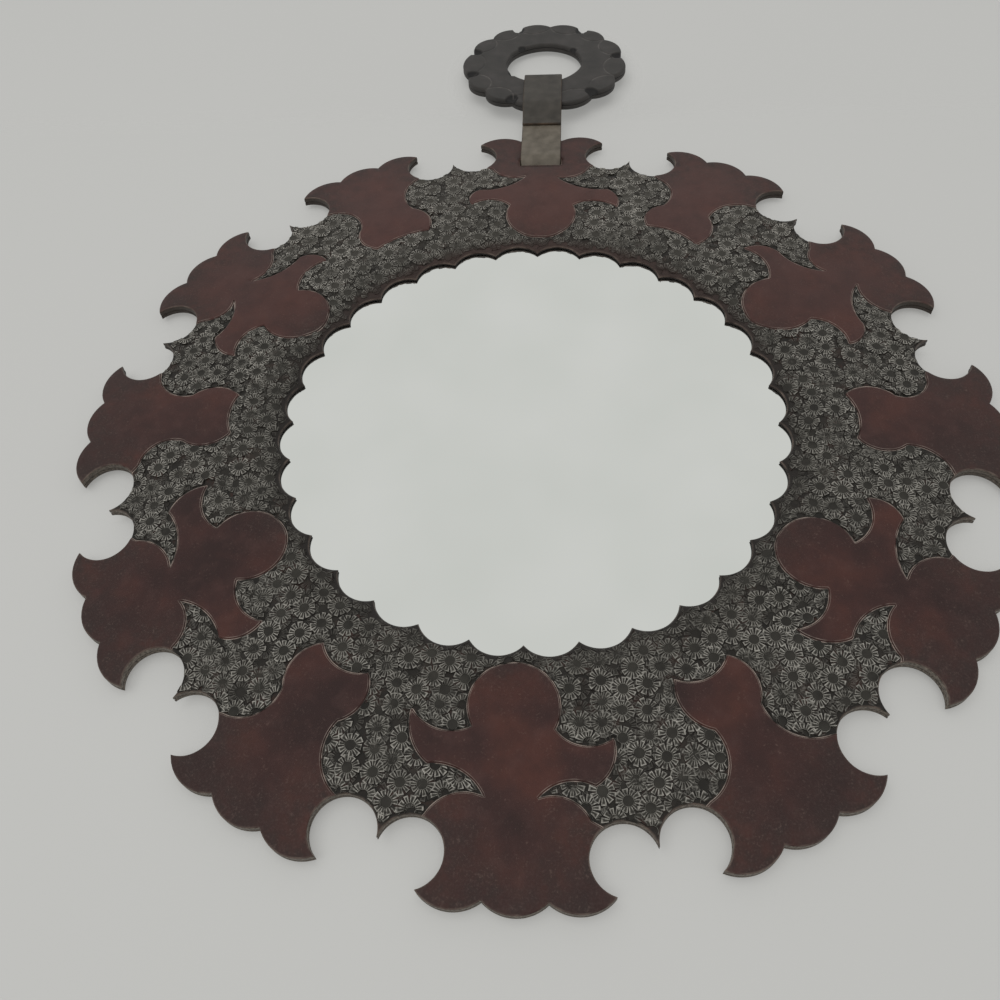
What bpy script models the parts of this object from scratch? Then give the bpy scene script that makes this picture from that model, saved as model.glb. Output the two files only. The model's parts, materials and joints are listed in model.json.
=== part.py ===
# Tooled leather wall mirror on a carved leather hanging ring.
# The pieces are laid out as on a bench: X to the right, Y up the wall, Z out of the wall.
# A parent empty then stands the bench upright, so the face looks along -Y and +Z is up.
# The origin is where the nail under the top of the ring's hole meets the wall.

import math

import bmesh
import bpy
from mathutils import Vector

# Clearances
GLUE = 0.0003              # glue line between two layers, and the play round each seated piece
FLEX_GAP = 0.0003          # break in the strap where it bends

# Mirror opening and border of the leather frame
OPENING_R = 0.1265         # to the bottoms of the inner scallops
SCALLOPS = 32
SCALLOP_RISE = 0.0055      # height of the points between the scallops
LIP_RUN = 0.0055           # the leather rolls over towards the opening across this width
LIP_DROP = 0.0020          # and falls by this much
BORDER_W = 0.1020          # from the opening to the crowns of the lobes
PETALS = 12
PETAL_ANGLE = math.radians(19.46)
LOBES = 3                  # lobes along the outer edge of a petal
LOBE_RISE = 0.0050
THORN_SETBACK = 0.0193     # thorn tips, in from the crowns
SCOOP_DEPTH = 0.0201       # round notch beside each thorn

# Leather layers
PANEL_T = 0.0025           # tooled front leather, at its stamped ground
RELIEF = 0.0006            # motifs stand this far above the stamped ground
LINER_T = 0.0020
RIM_LIFT = 0.0022          # back of the outer edge, off the wall

# Mirror and what backs it
GLASS_LAP = 0.0135         # glass hidden behind the leather
GLASS_T = 0.0030
BOARD_LIP = 0.0100         # board past the glass
BOARD_T = 0.0024
COVER_T = 0.0012
SKIRT_RUN = 0.0150         # slope of the back cover from the board up to the liner
FLANGE_W = 0.0100          # glued edge of the back cover
FLAT_MARGIN = 0.0080       # leather stays flat this far past the board

# Hanging ring
RING_R = 0.0545
RING_HOLE_R = 0.0250
RING_LAYER_T = 0.0025
RING_TILT = math.radians(5.0)   # the strap holds the ring's lower edge off the wall
RING_NOTCH = 0.0040        # depth of the notches between the lobes
RING_NOTCH_DEGREES = (8, 36, 60, 86, 112, 136, 161, 196, 222, 247, 278, 309, 337)
GOUGE_R = 0.0048           # gouges at every other notch
GOUGE_DEPTH = 0.0022
GOUGE_DEGREES = (8, 60, 112, 161, 196, 247, 309)
RING_GAP = 0.0213          # between the ring and the crown of the top petal

# Strap
STRAP_W = 0.0245
STRAP_T = 0.0020
LAP_START = 0.0070         # below the ring, where the folded end meets the strap
LAP_END = 0.0135           # below the ring, where the folded end stops
FOLD_RISE = 0.0020         # crown of the fold inside the ring's hole
SLOT_SETBACK = 0.0240      # upper edge of the slot, in from the crown of the top petal
TAIL_LENGTH = 0.0380       # glued behind the front leather

# Motif outlines: sideways from the motif's middle, and from the crowns as a share of the border
HEAD_TOP = 0.962
HEAD_R = 0.0192
NECK_X = 0.0165
ARM_TIP = (0.0416, 0.697)
ARM_TOP_SAG = 0.0060
ARM_FOOT = (0.0330, 0.507)
ARM_SIDE_SAG = 0.0022
HORN_TIP = (0.0085, 0.414)
HORN_SAG = 0.0036
SHOULDER_SAG = 0.0055
TAIL_TIP = (0.0148, 0.755)
TAIL_SAG = 0.0046
WAIST = (0.0142, 0.525)
WAIST_SAG = 0.0045
BELL_SAG = 0.0069

# Facets
TURN_STEPS = 96
SEAM_ANGLE = math.radians(1.3)   # keeps the turned facets' edges off the cusps of the outlines
LOBE_FACETS = 6
SCOOP_FACETS = 8
SCALLOP_FACETS = 4
MOTIF_FACETS = 4
LIP_FACETS = 3
HOLE_FACETS = 48

# Worked out from the sizes above
FRAME_R = OPENING_R + BORDER_W
GLASS_R = OPENING_R + GLASS_LAP
BOARD_R = GLASS_R + BOARD_LIP
FLAT_R = BOARD_R + FLAT_MARGIN
COVER_PAN_R = BOARD_R + GLUE
COVER_R = COVER_PAN_R + SKIRT_RUN + FLANGE_W
BOARD_Z = COVER_T + GLUE
GLASS_Z = BOARD_Z + BOARD_T + GLUE
LINER_Z = GLASS_Z + GLASS_T + GLUE
PANEL_LIFT = LINER_T + GLUE
RING_T = 2 * RING_LAYER_T + GLUE
RING_Y = -RING_HOLE_R * math.cos(RING_TILT)
RING_Z = GLUE + RING_R * math.sin(RING_TILT)   # back of the ring at its centre; its top is at the wall
RING_BOTTOM_Y = RING_Y - RING_R * math.cos(RING_TILT)
CROWN_Y = RING_BOTTOM_Y - RING_GAP
FRAME_Y = CROWN_Y - FRAME_R
SLOT_H = PANEL_T + RELIEF + 3 * GLUE + STRAP_T * math.sqrt(2)   # the strap crosses at 45 degrees
OVERCUT = 0.0050           # cutters reach this far past what they cut
TALL = FRAME_R             # height of the cutters, well past every layer

for old in list(bpy.data.objects):
    bpy.data.objects.remove(old, do_unlink=True)


def new_collection(name):
    collection = bpy.data.collections.new(name)
    bpy.context.scene.collection.children.link(collection)
    return collection


parts = new_collection("tooled_leather_wall_mirror")
cutters = new_collection("cutters")


def material(name, colour, roughness, metallic=0.0):
    made = bpy.data.materials.new(name)
    made.use_nodes = True
    shader = made.node_tree.nodes["Principled BSDF"]
    shader.inputs["Base Color"].default_value = (*colour, 1.0)
    shader.inputs["Roughness"].default_value = roughness
    shader.inputs["Metallic"].default_value = metallic
    return made


OXBLOOD = (0.085, 0.026, 0.022)
EDGE_BROWN = (0.045, 0.030, 0.024)
SUEDE = (0.200, 0.130, 0.085)
BOARD_BROWN = (0.230, 0.160, 0.100)
RING_BROWN = (0.050, 0.044, 0.040)
STRAP_BROWN = (0.060, 0.048, 0.040)
SILVER = (0.900, 0.910, 0.900)


# Depth of the leather at a radius: flat over the board, then falling to the wall at the rim.
def liner_back(radius):
    slope = (LINER_Z - RIM_LIFT) / (FRAME_R - FLAT_R)
    return LINER_Z - slope * max(0.0, radius - FLAT_R)


def panel_back(radius):
    return liner_back(radius) + PANEL_LIFT


def panel_middle(radius):
    return panel_back(radius) + PANEL_T / 2


def panel_front(radius):
    return panel_back(radius) + PANEL_T


def motif_front(radius):
    return panel_front(radius) + RELIEF


def tail_back(radius):
    """Back face of the strap's tail, which lies in the liner's thickness."""
    return panel_back(radius) - GLUE - max(STRAP_T, LINER_T)


# Outlines
def polar(radius, angle):
    return Vector((radius * math.sin(angle), radius * math.cos(angle)))


def arc(start, end, sagitta, facets):
    """Points from start up to, not including, end; a positive sagitta bulges to the left."""
    chord = end - start
    half = chord.length / 2
    if abs(sagitta) < 1e-9:
        return [start + chord * (i / facets) for i in range(facets)]
    radius = (half * half + sagitta * sagitta) / (2 * sagitta)
    left = Vector((-chord.y, chord.x)).normalized()
    centre = (start + end) / 2 + left * (sagitta - radius)
    sweep = math.copysign(2 * math.atan2(half, abs(radius) - abs(sagitta)), -sagitta)
    first = start - centre
    points = []
    for i in range(facets):
        turn = sweep * i / facets
        cos, sin = math.cos(turn), math.sin(turn)
        points.append(centre + Vector((first.x * cos - first.y * sin, first.x * sin + first.y * cos)))
    return points


def petal_corner(angle):
    """End of a row of lobes, or a cusp between two of them."""
    return polar((FRAME_R - LOBE_RISE) / math.cos(PETAL_ANGLE / LOBES / 2), angle)


def thorn_tip(angle):
    return polar(FRAME_R - THORN_SETBACK, angle)


def frame_outline():
    """Clockwise round the frame: scoop, three lobes, scoop, thorn, and again."""
    lobe_angle = PETAL_ANGLE / LOBES
    step = 2 * math.pi / PETALS
    points = []
    for petal in range(PETALS):
        middle = petal * step
        thorn_before = thorn_tip(middle - step / 2)
        thorn_after = thorn_tip(middle + step / 2)
        cusps = [petal_corner(middle - PETAL_ANGLE / 2 + i * lobe_angle) for i in range(LOBES + 1)]
        points += arc(thorn_before, cusps[0], -SCOOP_DEPTH, SCOOP_FACETS)
        for start, end in zip(cusps, cusps[1:]):
            points += arc(start, end, LOBE_RISE, LOBE_FACETS)
        points += arc(cusps[-1], thorn_after, -SCOOP_DEPTH, SCOOP_FACETS)
    return points


def opening_outline(widen=0.0):
    step = 2 * math.pi / SCALLOPS
    cusp_r = OPENING_R - SCALLOP_RISE + widen
    sagitta = OPENING_R + widen - cusp_r * math.cos(step / 2)
    points = []
    for i in range(SCALLOPS):
        start = polar(cusp_r, i * step)
        end = polar(cusp_r, (i + 1) * step)
        points += arc(start, end, sagitta, SCALLOP_FACETS)
    return points


def ring_outline():
    notches = [math.radians(degrees) for degrees in RING_NOTCH_DEGREES]
    notch_r = RING_R - RING_NOTCH
    points = []
    for i, start_angle in enumerate(notches):
        end_angle = notches[(i + 1) % len(notches)]
        spread = (end_angle - start_angle) % (2 * math.pi)
        start = Vector((notch_r * math.cos(start_angle), notch_r * math.sin(start_angle)))
        end = Vector((notch_r * math.cos(end_angle), notch_r * math.sin(end_angle)))
        points += arc(start, end, notch_r * math.cos(spread / 2) - RING_R, LOBE_FACETS)
    return points


def circle_outline(radius):
    return [polar(radius, 2 * math.pi * i / HOLE_FACETS) for i in range(HOLE_FACETS)]


def in_border(place):
    return Vector((place[0], FRAME_R - place[1] * BORDER_W))


def mirrored(half):
    """Close a half outline that runs down the +X side with its mirror image."""
    other = [Vector((-point.x, point.y)) for point in reversed(half) if point.x > 1e-9]
    return half + other


def shoulder():
    """Where a motif's side runs out into the scoop, at the scoop's deepest point."""
    corner = petal_corner(PETAL_ANGLE / 2)
    thorn = thorn_tip(math.pi / PETALS)
    chord = thorn - corner
    inwards = Vector((chord.y, -chord.x)).normalized()
    return (corner + thorn) / 2 + inwards * (SCOOP_DEPTH - OVERCUT / 5)


def petal_sides():
    """From the shoulder out through the scoop and past the rim."""
    scoop_side = thorn_tip(math.pi / PETALS) + Vector((-SCOOP_DEPTH / 2, 0.0))
    past_rim = Vector((scoop_side.x, FRAME_R + 4 * OVERCUT))
    return [shoulder(), scoop_side, past_rim]


def cross_motif():
    head_y = FRAME_R - HEAD_TOP * BORDER_W + HEAD_R
    neck = Vector((NECK_X, head_y + math.sqrt(HEAD_R ** 2 - NECK_X ** 2)))
    top = Vector((0.0, head_y - HEAD_R))
    side = Vector((HEAD_R, head_y))
    quarter = HEAD_R * (1 - math.cos(math.pi / 4))
    rest = HEAD_R * (1 - math.cos(math.asin((neck - side).length / 2 / HEAD_R)))
    half = arc(top, side, -quarter, MOTIF_FACETS)
    half += arc(side, neck, -rest, MOTIF_FACETS // 2)
    half += arc(neck, in_border(ARM_TIP), ARM_TOP_SAG, MOTIF_FACETS)
    half += arc(in_border(ARM_TIP), in_border(ARM_FOOT), -ARM_SIDE_SAG, MOTIF_FACETS // 2)
    half += arc(in_border(ARM_FOOT), in_border(HORN_TIP), HORN_SAG, MOTIF_FACETS)
    half += arc(in_border(HORN_TIP), shoulder(), -SHOULDER_SAG, MOTIF_FACETS)
    return mirrored(half + petal_sides())


def bell_motif():
    tip = in_border(TAIL_TIP)
    tip_to_tip = arc(Vector((-tip.x, tip.y)), tip, TAIL_SAG, 2 * MOTIF_FACETS)
    half = tip_to_tip[MOTIF_FACETS:]
    half += arc(tip, in_border(WAIST), -WAIST_SAG, MOTIF_FACETS)
    half += arc(in_border(WAIST), shoulder(), BELL_SAG, MOTIF_FACETS)
    return mirrored(half + petal_sides())


def turned_by(points, angle):
    return [Vector((p.x * math.cos(angle) + p.y * math.sin(angle),
                    p.y * math.cos(angle) - p.x * math.sin(angle))) for p in points]


# Solids
def keep(mesh, name, collection):
    made = bpy.data.objects.new(name, mesh)
    collection.objects.link(made)
    if collection == cutters:
        made.hide_render = True
        made.display_type = "WIRE"
    return made


def sheet(name, outlines, low, high, collection):
    """A flat outline, holes included, given a thickness along Z."""
    curve = bpy.data.curves.new(name + "_outline", "CURVE")
    curve.dimensions = "2D"
    curve.fill_mode = "BOTH"
    curve.extrude = (high - low) / 2
    for outline in outlines:
        spline = curve.splines.new("POLY")
        spline.points.add(len(outline) - 1)
        for control, point in zip(spline.points, outline):
            control.co = (point.x, point.y, 0.0, 1.0)
        spline.use_cyclic_u = True
    drawn = bpy.data.objects.new(name + "_outline", curve)
    bpy.context.scene.collection.objects.link(drawn)
    graph = bpy.context.evaluated_depsgraph_get()
    mesh = bpy.data.meshes.new_from_object(drawn.evaluated_get(graph))
    bpy.data.objects.remove(drawn, do_unlink=True)
    bpy.data.curves.remove(curve)
    weld(mesh, (low + high) / 2)
    return keep(mesh, name, collection)


def weld(mesh, lift=0.0):
    work = bmesh.new()
    work.from_mesh(mesh)
    bmesh.ops.translate(work, verts=work.verts, vec=(0.0, 0.0, lift))
    bmesh.ops.remove_doubles(work, verts=work.verts, dist=1e-6)
    bmesh.ops.recalc_face_normals(work, faces=work.faces)
    work.to_mesh(mesh)
    work.free()


def strip(name, outlines, collection):
    """A profile in the Y-Z plane, as wide as the strap."""
    made = sheet(name, outlines, -STRAP_W / 2, STRAP_W / 2, collection)
    for vertex in made.data.vertices:
        y, z, x = vertex.co
        vertex.co = (x, y, z)
    return made


def turned(name, profile, collection, closed=False):
    """Profile points (radius, z), down the outer side, turned about Z."""
    work = bmesh.new()
    cos, sin = math.cos(SEAM_ANGLE), math.sin(SEAM_ANGLE)
    verts = [work.verts.new((radius * cos, radius * sin, z)) for radius, z in profile]
    for first, second in zip(verts, verts[1:]):
        work.edges.new((first, second))
    if closed:
        work.edges.new((verts[-1], verts[0]))
    mesh = bpy.data.meshes.new(name)
    work.to_mesh(mesh)
    work.free()
    made = keep(mesh, name, collection)
    screw = made.modifiers.new("turn", "SCREW")
    screw.axis = "Z"
    screw.steps = TURN_STEPS
    screw.render_steps = TURN_STEPS
    screw.use_merge_vertices = True
    screw.merge_threshold = 1e-5
    screw.use_smooth_shade = False
    return made


def layer(name, low, high, collection, spare=OVERCUT):
    """A turned leather ring between two depth rules, wider than the frame on both sides."""
    inside = OPENING_R - SCALLOP_RISE - spare
    outside = FRAME_R + spare
    profile = [(inside, high(inside)), (FLAT_R, high(FLAT_R)), (outside, high(outside)),
               (outside, low(outside)), (FLAT_R, low(FLAT_R)), (inside, low(inside))]
    return turned(name, profile, collection, closed=True)


def loft(name, rings, collection):
    """A closed solid through rings of equally many points, each with its own height."""
    work = bmesh.new()
    rows = [[work.verts.new((p.x, p.y, z)) for p in points] for points, z in rings]
    for lower, upper in zip(rows, rows[1:]):
        for i, corner in enumerate(lower):
            j = (i + 1) % len(lower)
            work.faces.new((corner, lower[j], upper[j], upper[i]))
    work.faces.new(rows[0])
    work.faces.new(rows[-1])
    bmesh.ops.recalc_face_normals(work, faces=work.faces)
    mesh = bpy.data.meshes.new(name)
    work.to_mesh(mesh)
    work.free()
    return keep(mesh, name, collection)


def box(name, low, high):
    work = bmesh.new()
    bmesh.ops.create_cube(work, size=1.0)
    for vert in work.verts:
        vert.co = [a + (b - a) * (c + 0.5) for a, b, c in zip(low, high, vert.co)]
    mesh = bpy.data.meshes.new(name)
    work.to_mesh(mesh)
    work.free()
    return keep(mesh, name, cutters)


def combine(target, other, operation, solver="EXACT"):
    modifier = target.modifiers.new(operation.lower() + "_" + other.name, "BOOLEAN")
    modifier.operation = operation
    modifier.solver = solver
    modifier.object = other


# The tilted ring's own frame: up from its centre, out from its back
def from_ring(up, out):
    cos, sin = math.cos(RING_TILT), math.sin(RING_TILT)
    return Vector((RING_Y + up * cos + out * sin, RING_Z - up * sin + out * cos))


def to_ring(y, z):
    cos, sin = math.cos(RING_TILT), math.sin(RING_TILT)
    up, out = y - RING_Y, z - RING_Z
    return Vector((up * cos - out * sin, up * sin + out * cos))


def strap_back(y):
    """Depth of the strap's back face below the ring: straight to the front of the top petal, and on it."""
    if y < CROWN_Y:
        return motif_front(y - FRAME_Y) + GLUE
    ring_end = from_ring(-RING_R, -GLUE - STRAP_T)
    share = (ring_end.x - y) / (ring_end.x - CROWN_Y)
    return ring_end.y + share * (motif_front(FRAME_R) + GLUE - ring_end.y)


FLEX_Y = RING_BOTTOM_Y - LAP_END - FLEX_GAP / 2
FLEX_Z = strap_back(FLEX_Y) + STRAP_T   # the strap folds forward about its front face


# Pivots: the bench stands upright, the loop turns about the ring, the frame swings on the strap
def pivot(name, parent, y, z, turn):
    made = bpy.data.objects.new(name, None)
    parts.objects.link(made)
    made.parent = parent
    made.location = (0.0, y, z)
    made.rotation_euler = (turn, 0.0, 0.0)
    return made


upright = pivot("upright", None, 0.0, 0.0, math.pi / 2)
ring_pivot = pivot("ring_centre", upright, RING_Y, RING_Z, -RING_TILT)
flex_pivot = pivot("strap_flex_line", ring_pivot, *to_ring(FLEX_Y, FLEX_Z), RING_TILT)


def seat(made, y=0.0):
    """Hang a piece on the flex line, with the piece's own zero at height y on the bench."""
    made.parent = flex_pivot
    made.location = (0.0, y - FLEX_Y, -FLEX_Z)


def dress(made, look):
    made.data.materials.clear()
    made.data.materials.append(look)


# Frame: cutters shared by the two leather layers
outline_cutter = sheet("frame_outline_cutter", [frame_outline()], -TALL, TALL, cutters)
seat(outline_cutter, FRAME_Y)


def build_front_panel():
    panel = layer("front_panel", panel_back, panel_front, parts)
    relief = layer("motif_relief", panel_middle, motif_front, cutters, OVERCUT / 2)
    step = 2 * math.pi / PETALS
    drawn = [cross_motif(), bell_motif()]
    motifs = [turned_by(drawn[i % 2], i * step) for i in range(PETALS)]
    motif_cutter = sheet("motif_cutter", motifs, -TALL, TALL, cutters)
    combine(relief, motif_cutter, "INTERSECT")
    combine(panel, relief, "UNION")
    combine(panel, outline_cutter, "INTERSECT", "MANIFOLD")   # the exact solver leaves this one open
    lip_z = panel_front(OPENING_R) - LIP_DROP
    rings = [(opening_outline(), -TALL)]
    for i in range(LIP_FACETS + 1):
        turn = math.pi / 2 * i / LIP_FACETS
        rings.append((opening_outline(LIP_RUN * (1 - math.cos(turn))), lip_z + LIP_DROP * math.sin(turn)))
    rings.append((opening_outline(LIP_RUN), TALL))
    opening = loft("opening_cutter", rings, cutters)
    combine(panel, opening, "DIFFERENCE")
    top = FRAME_R - SLOT_SETBACK
    half = STRAP_W / 2 + GLUE
    slot = box("slot_cutter", (-half, top - SLOT_H, -TALL), (half, top, TALL))
    combine(panel, slot, "DIFFERENCE")
    for made in (panel, relief, motif_cutter, opening, slot):
        seat(made, FRAME_Y)
    dress(panel, material("oxblood_leather", OXBLOOD, 0.55))


def build_liner_panel():
    liner = layer("liner_panel", liner_back, lambda r: liner_back(r) + LINER_T, parts)
    combine(liner, outline_cutter, "INTERSECT")
    opening = sheet("liner_opening_cutter", [opening_outline()], -TALL, TALL, cutters)
    combine(liner, opening, "DIFFERENCE")
    top = FRAME_R - SLOT_SETBACK
    half = STRAP_W / 2 + GLUE
    bottom = top - TAIL_LENGTH - 2 * GLUE
    channel = box("tail_channel_cutter", (-half, bottom, -TALL), (half, top, TALL))
    combine(liner, channel, "DIFFERENCE")
    for made in (liner, opening, channel):
        seat(made, FRAME_Y)
    dress(liner, material("liner_leather", EDGE_BROWN, 0.75))


def build_mirror_glass():
    profile = [(0.0, GLASS_Z + GLASS_T), (GLASS_R, GLASS_Z + GLASS_T), (GLASS_R, GLASS_Z), (0.0, GLASS_Z)]
    glass = turned("mirror_glass", profile, parts)
    seat(glass, FRAME_Y)
    dress(glass, material("silvered_glass", SILVER, 0.02, 1.0))


def build_backing_board():
    profile = [(0.0, BOARD_Z + BOARD_T), (BOARD_R, BOARD_Z + BOARD_T), (BOARD_R, BOARD_Z), (0.0, BOARD_Z)]
    board = turned("backing_board", profile, parts)
    seat(board, FRAME_Y)
    dress(board, material("hardboard", BOARD_BROWN, 0.85))


def build_back_cover():
    heel = COVER_PAN_R + SKIRT_RUN
    heel_z = tail_back(heel) - GLUE
    edge_z = tail_back(COVER_R) - GLUE
    profile = [(0.0, COVER_T), (COVER_PAN_R, COVER_T), (heel, heel_z), (COVER_R, edge_z),
               (COVER_R, edge_z - COVER_T), (heel, heel_z - COVER_T), (COVER_PAN_R, 0.0), (0.0, 0.0)]
    cover = turned("back_cover", profile, parts)
    seat(cover, FRAME_Y)
    dress(cover, material("suede_cover", SUEDE, 0.90))


def build_ring_layers():
    outlines = [ring_outline(), circle_outline(RING_HOLE_R)]
    back = sheet("ring_back_layer", outlines, 0.0, RING_LAYER_T, parts)
    front = sheet("ring_front_layer", outlines, RING_T - RING_LAYER_T, RING_T, parts)
    for i, degrees in enumerate(GOUGE_DEGREES):
        work = bmesh.new()
        bmesh.ops.create_uvsphere(work, u_segments=12, v_segments=8, radius=GOUGE_R)
        mesh = bpy.data.meshes.new("gouge")
        work.to_mesh(mesh)
        work.free()
        gouge = keep(mesh, "gouge_cutter_%d" % i, cutters)
        angle = math.radians(degrees)
        gouge.parent = ring_pivot
        reach = RING_R - RING_NOTCH - GOUGE_R / 4
        gouge.location = (reach * math.cos(angle), reach * math.sin(angle), RING_T + GOUGE_R - GOUGE_DEPTH)
        combine(front, gouge, "DIFFERENCE")
    for made, look in ((back, "ring_back_leather"), (front, "ring_front_leather")):
        made.parent = ring_pivot
        dress(made, material(look, RING_BROWN, 0.60))


def build_strap_loop():
    """In the ring's frame: behind the ring, up through its hole, down its front, and lapped on the strap."""
    band_top = GLUE - math.sqrt(RING_HOLE_R ** 2 - (STRAP_W / 2) ** 2)
    inner_back = -GLUE
    inner_front = RING_T + GLUE
    outer_back = inner_back - STRAP_T
    outer_front = inner_front + STRAP_T
    below_ring = -RING_R - GLUE
    lap_start = RING_BOTTOM_Y - LAP_START
    lap_end = RING_BOTTOM_Y - LAP_END

    def on_strap(y, layers):
        return to_ring(y, strap_back(y) + layers * STRAP_T)

    inner = [on_strap(lap_start, 1), Vector((below_ring, inner_back))]
    inner += arc(Vector((band_top, inner_back)), Vector((band_top, inner_front)), -FOLD_RISE, LOBE_FACETS)
    inner += [Vector((band_top, inner_front)), Vector((below_ring, inner_front))]
    outer = [on_strap(lap_end, 0), Vector((-RING_R, outer_back))]
    outer += arc(Vector((band_top, outer_back)), Vector((band_top, outer_front)),
                 -FOLD_RISE - STRAP_T, LOBE_FACETS)
    outer += [Vector((band_top, outer_front)), Vector((below_ring - STRAP_T / 2, outer_front)),
              on_strap(lap_start, 2), on_strap(lap_end, 2)]
    loop = strip("strap_loop", [outer, inner], parts)
    loop.parent = ring_pivot
    dress(loop, material("strap_leather", STRAP_BROWN, 0.70))


def build_strap_tail():
    """From the end of the lap over the top petal, through the slot and into the liner's channel."""
    start = FLEX_Y - FLEX_GAP / 2
    bend = FRAME_Y + FRAME_R - SLOT_SETBACK - GLUE
    end = bend - TAIL_LENGTH
    crossing = GLUE + RELIEF + PANEL_T + GLUE + STRAP_T
    miter = STRAP_T * (math.sqrt(2) - 1)

    def in_liner(y):
        return panel_back(y - FRAME_Y) - GLUE - STRAP_T

    behind = bend - crossing
    back_face = [Vector((y, strap_back(y))) for y in (start, CROWN_Y, bend)]
    back_face += [Vector((y, in_liner(y))) for y in (behind, end)]
    front_face = [Vector((y, in_liner(y) + STRAP_T)) for y in (end, behind - miter)]
    front_face += [Vector((y, strap_back(y) + STRAP_T)) for y in (bend - miter, CROWN_Y, start)]
    tail = strip("strap_tail", [back_face + front_face], parts)
    seat(tail)
    dress(tail, material("strap_flesh", SUEDE, 0.85))


build_front_panel()
build_liner_panel()
build_mirror_glass()
build_backing_board()
build_back_cover()
build_ring_layers()
build_strap_loop()
build_strap_tail()
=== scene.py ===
import json
import math
import random

import bmesh
import bpy
import numpy as np
from mathutils import Matrix, Vector, geometry, kdtree


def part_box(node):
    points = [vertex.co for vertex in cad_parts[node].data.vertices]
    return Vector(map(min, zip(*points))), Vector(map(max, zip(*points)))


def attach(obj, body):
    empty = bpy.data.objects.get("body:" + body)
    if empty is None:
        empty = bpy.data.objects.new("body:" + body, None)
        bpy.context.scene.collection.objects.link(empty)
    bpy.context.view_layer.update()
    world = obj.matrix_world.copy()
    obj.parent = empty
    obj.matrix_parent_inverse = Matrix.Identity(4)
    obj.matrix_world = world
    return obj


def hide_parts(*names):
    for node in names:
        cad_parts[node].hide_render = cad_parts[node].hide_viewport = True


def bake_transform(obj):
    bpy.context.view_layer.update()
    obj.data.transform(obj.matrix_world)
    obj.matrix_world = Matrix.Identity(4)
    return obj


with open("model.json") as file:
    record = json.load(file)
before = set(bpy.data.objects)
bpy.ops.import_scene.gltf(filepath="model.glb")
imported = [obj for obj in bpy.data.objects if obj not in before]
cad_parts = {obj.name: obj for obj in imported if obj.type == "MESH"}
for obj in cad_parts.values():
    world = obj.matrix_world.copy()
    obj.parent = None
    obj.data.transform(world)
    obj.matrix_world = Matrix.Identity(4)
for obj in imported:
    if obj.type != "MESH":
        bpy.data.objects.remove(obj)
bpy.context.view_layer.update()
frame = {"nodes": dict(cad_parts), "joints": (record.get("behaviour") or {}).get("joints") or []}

mm = 0.001

# Pieces are drawn on a bench, x right, y up the wall, z out of it, and stand up as (x, -z, y).
# Flat outlines are rows of complex numbers, x + y i, in metres from the piece's own centre.
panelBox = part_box("front_panel")
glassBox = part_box("mirror_glass")
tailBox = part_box("strap_tail")
frameR = (panelBox[1][0] - panelBox[0][0]) / 2
frameY = (panelBox[1][2] + panelBox[0][2]) / 2
joints = {joint["name"]: joint for joint in frame["joints"]}
ringPlace = joints["ring_swing"]["pos_m"]
ringTilt = math.atan2(-joints["ring_swing"]["axis"][2], joints["ring_swing"]["axis"][1])
flexPlace = joints["strap_flex"]["pos_m"]


def linear(hexText):
    channels = [int(hexText[i:i + 2], 16) / 255 for i in (1, 3, 5)]
    return tuple(c / 12.92 if c <= 0.04045 else ((c + 0.055) / 1.055) ** 2.4 for c in channels) + (1.0,)


def addNode(tree, kind, inputs=None, **settings):
    node = tree.nodes.new(kind)
    for name, value in settings.items():
        setattr(node, name, value)
    for key, value in (inputs or {}).items():
        if isinstance(value, bpy.types.NodeSocket):
            tree.links.new(value, node.inputs[key])
        else:
            node.inputs[key].default_value = value
    return node


def setRamp(node, stops):
    ramp = node.color_ramp
    while len(ramp.elements) < len(stops):
        ramp.elements.new(1.0)
    for element, (place, colour) in zip(ramp.elements, stops):
        element.position = place
        element.color = colour
    return node.outputs["Color"]


def startMaterial(name, roughness, **sockets):
    made = bpy.data.materials.new(name)
    made.use_nodes = True
    shader = made.node_tree.nodes["Principled BSDF"]
    shader.inputs["Roughness"].default_value = roughness
    for key, value in sockets.items():
        shader.inputs[key].default_value = value
    return made, made.node_tree, shader


def grey(level):
    return (level, level, level, 1.0)


# Camera: found from the petals, thorns and scallops of the photograph.
cameraView = {
    "place": (0.0186, -0.3816, -0.6213),
    "right": (0.9974, 0.0556, 0.0460),
    "up": (-0.0078, -0.5504, 0.8349),
    "focalPixels": 949.83,
    "imagePixels": 1000,
    "sensorMm": 36.0,
}


def makeCamera():
    data = bpy.data.cameras.new("mainCamera")
    data.sensor_width = cameraView["sensorMm"]
    data.lens = cameraView["focalPixels"] / cameraView["imagePixels"] * cameraView["sensorMm"]
    data.clip_start = 0.01
    camera = bpy.data.objects.new("mainCamera", data)
    bpy.context.scene.collection.objects.link(camera)
    right = Vector(cameraView["right"]).normalized()
    back = right.cross(Vector(cameraView["up"])).normalized()
    up = back.cross(right)
    turn = Matrix((right, up, back)).transposed().to_4x4()
    camera.matrix_world = Matrix.Translation(cameraView["place"]) @ turn
    bpy.context.scene.camera = camera


# Stage: a pale wall close behind the mirror, a pale floor, and soft light. The ring leans, so a frame swung up
# past it goes behind the wall's plane: there the wall opens onto one that stands further back.
stageLook = {
    "wallColour": "#bbbbb8",
    "farWallColour": "#bdbdba",
    "floorColour": "#c4c4c2",
    "worldColour": "#cccccb",
    "wallGap": 0.0006,
    "farWallGap": 0.09,
    "openFrom": 0.058,
    "openFull": 0.067,
    "openBelow": (0.052, 0.030),
    "wallGlow": 0.5,
    "wallHalf": 2.2,
    "floorDrop": 2.4,
    "ambient": 0.62,
    "keyPower": 33.5,
    "keySize": 2.4,
    "keyPlace": (-0.35, -2.2, -0.75),
}


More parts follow.
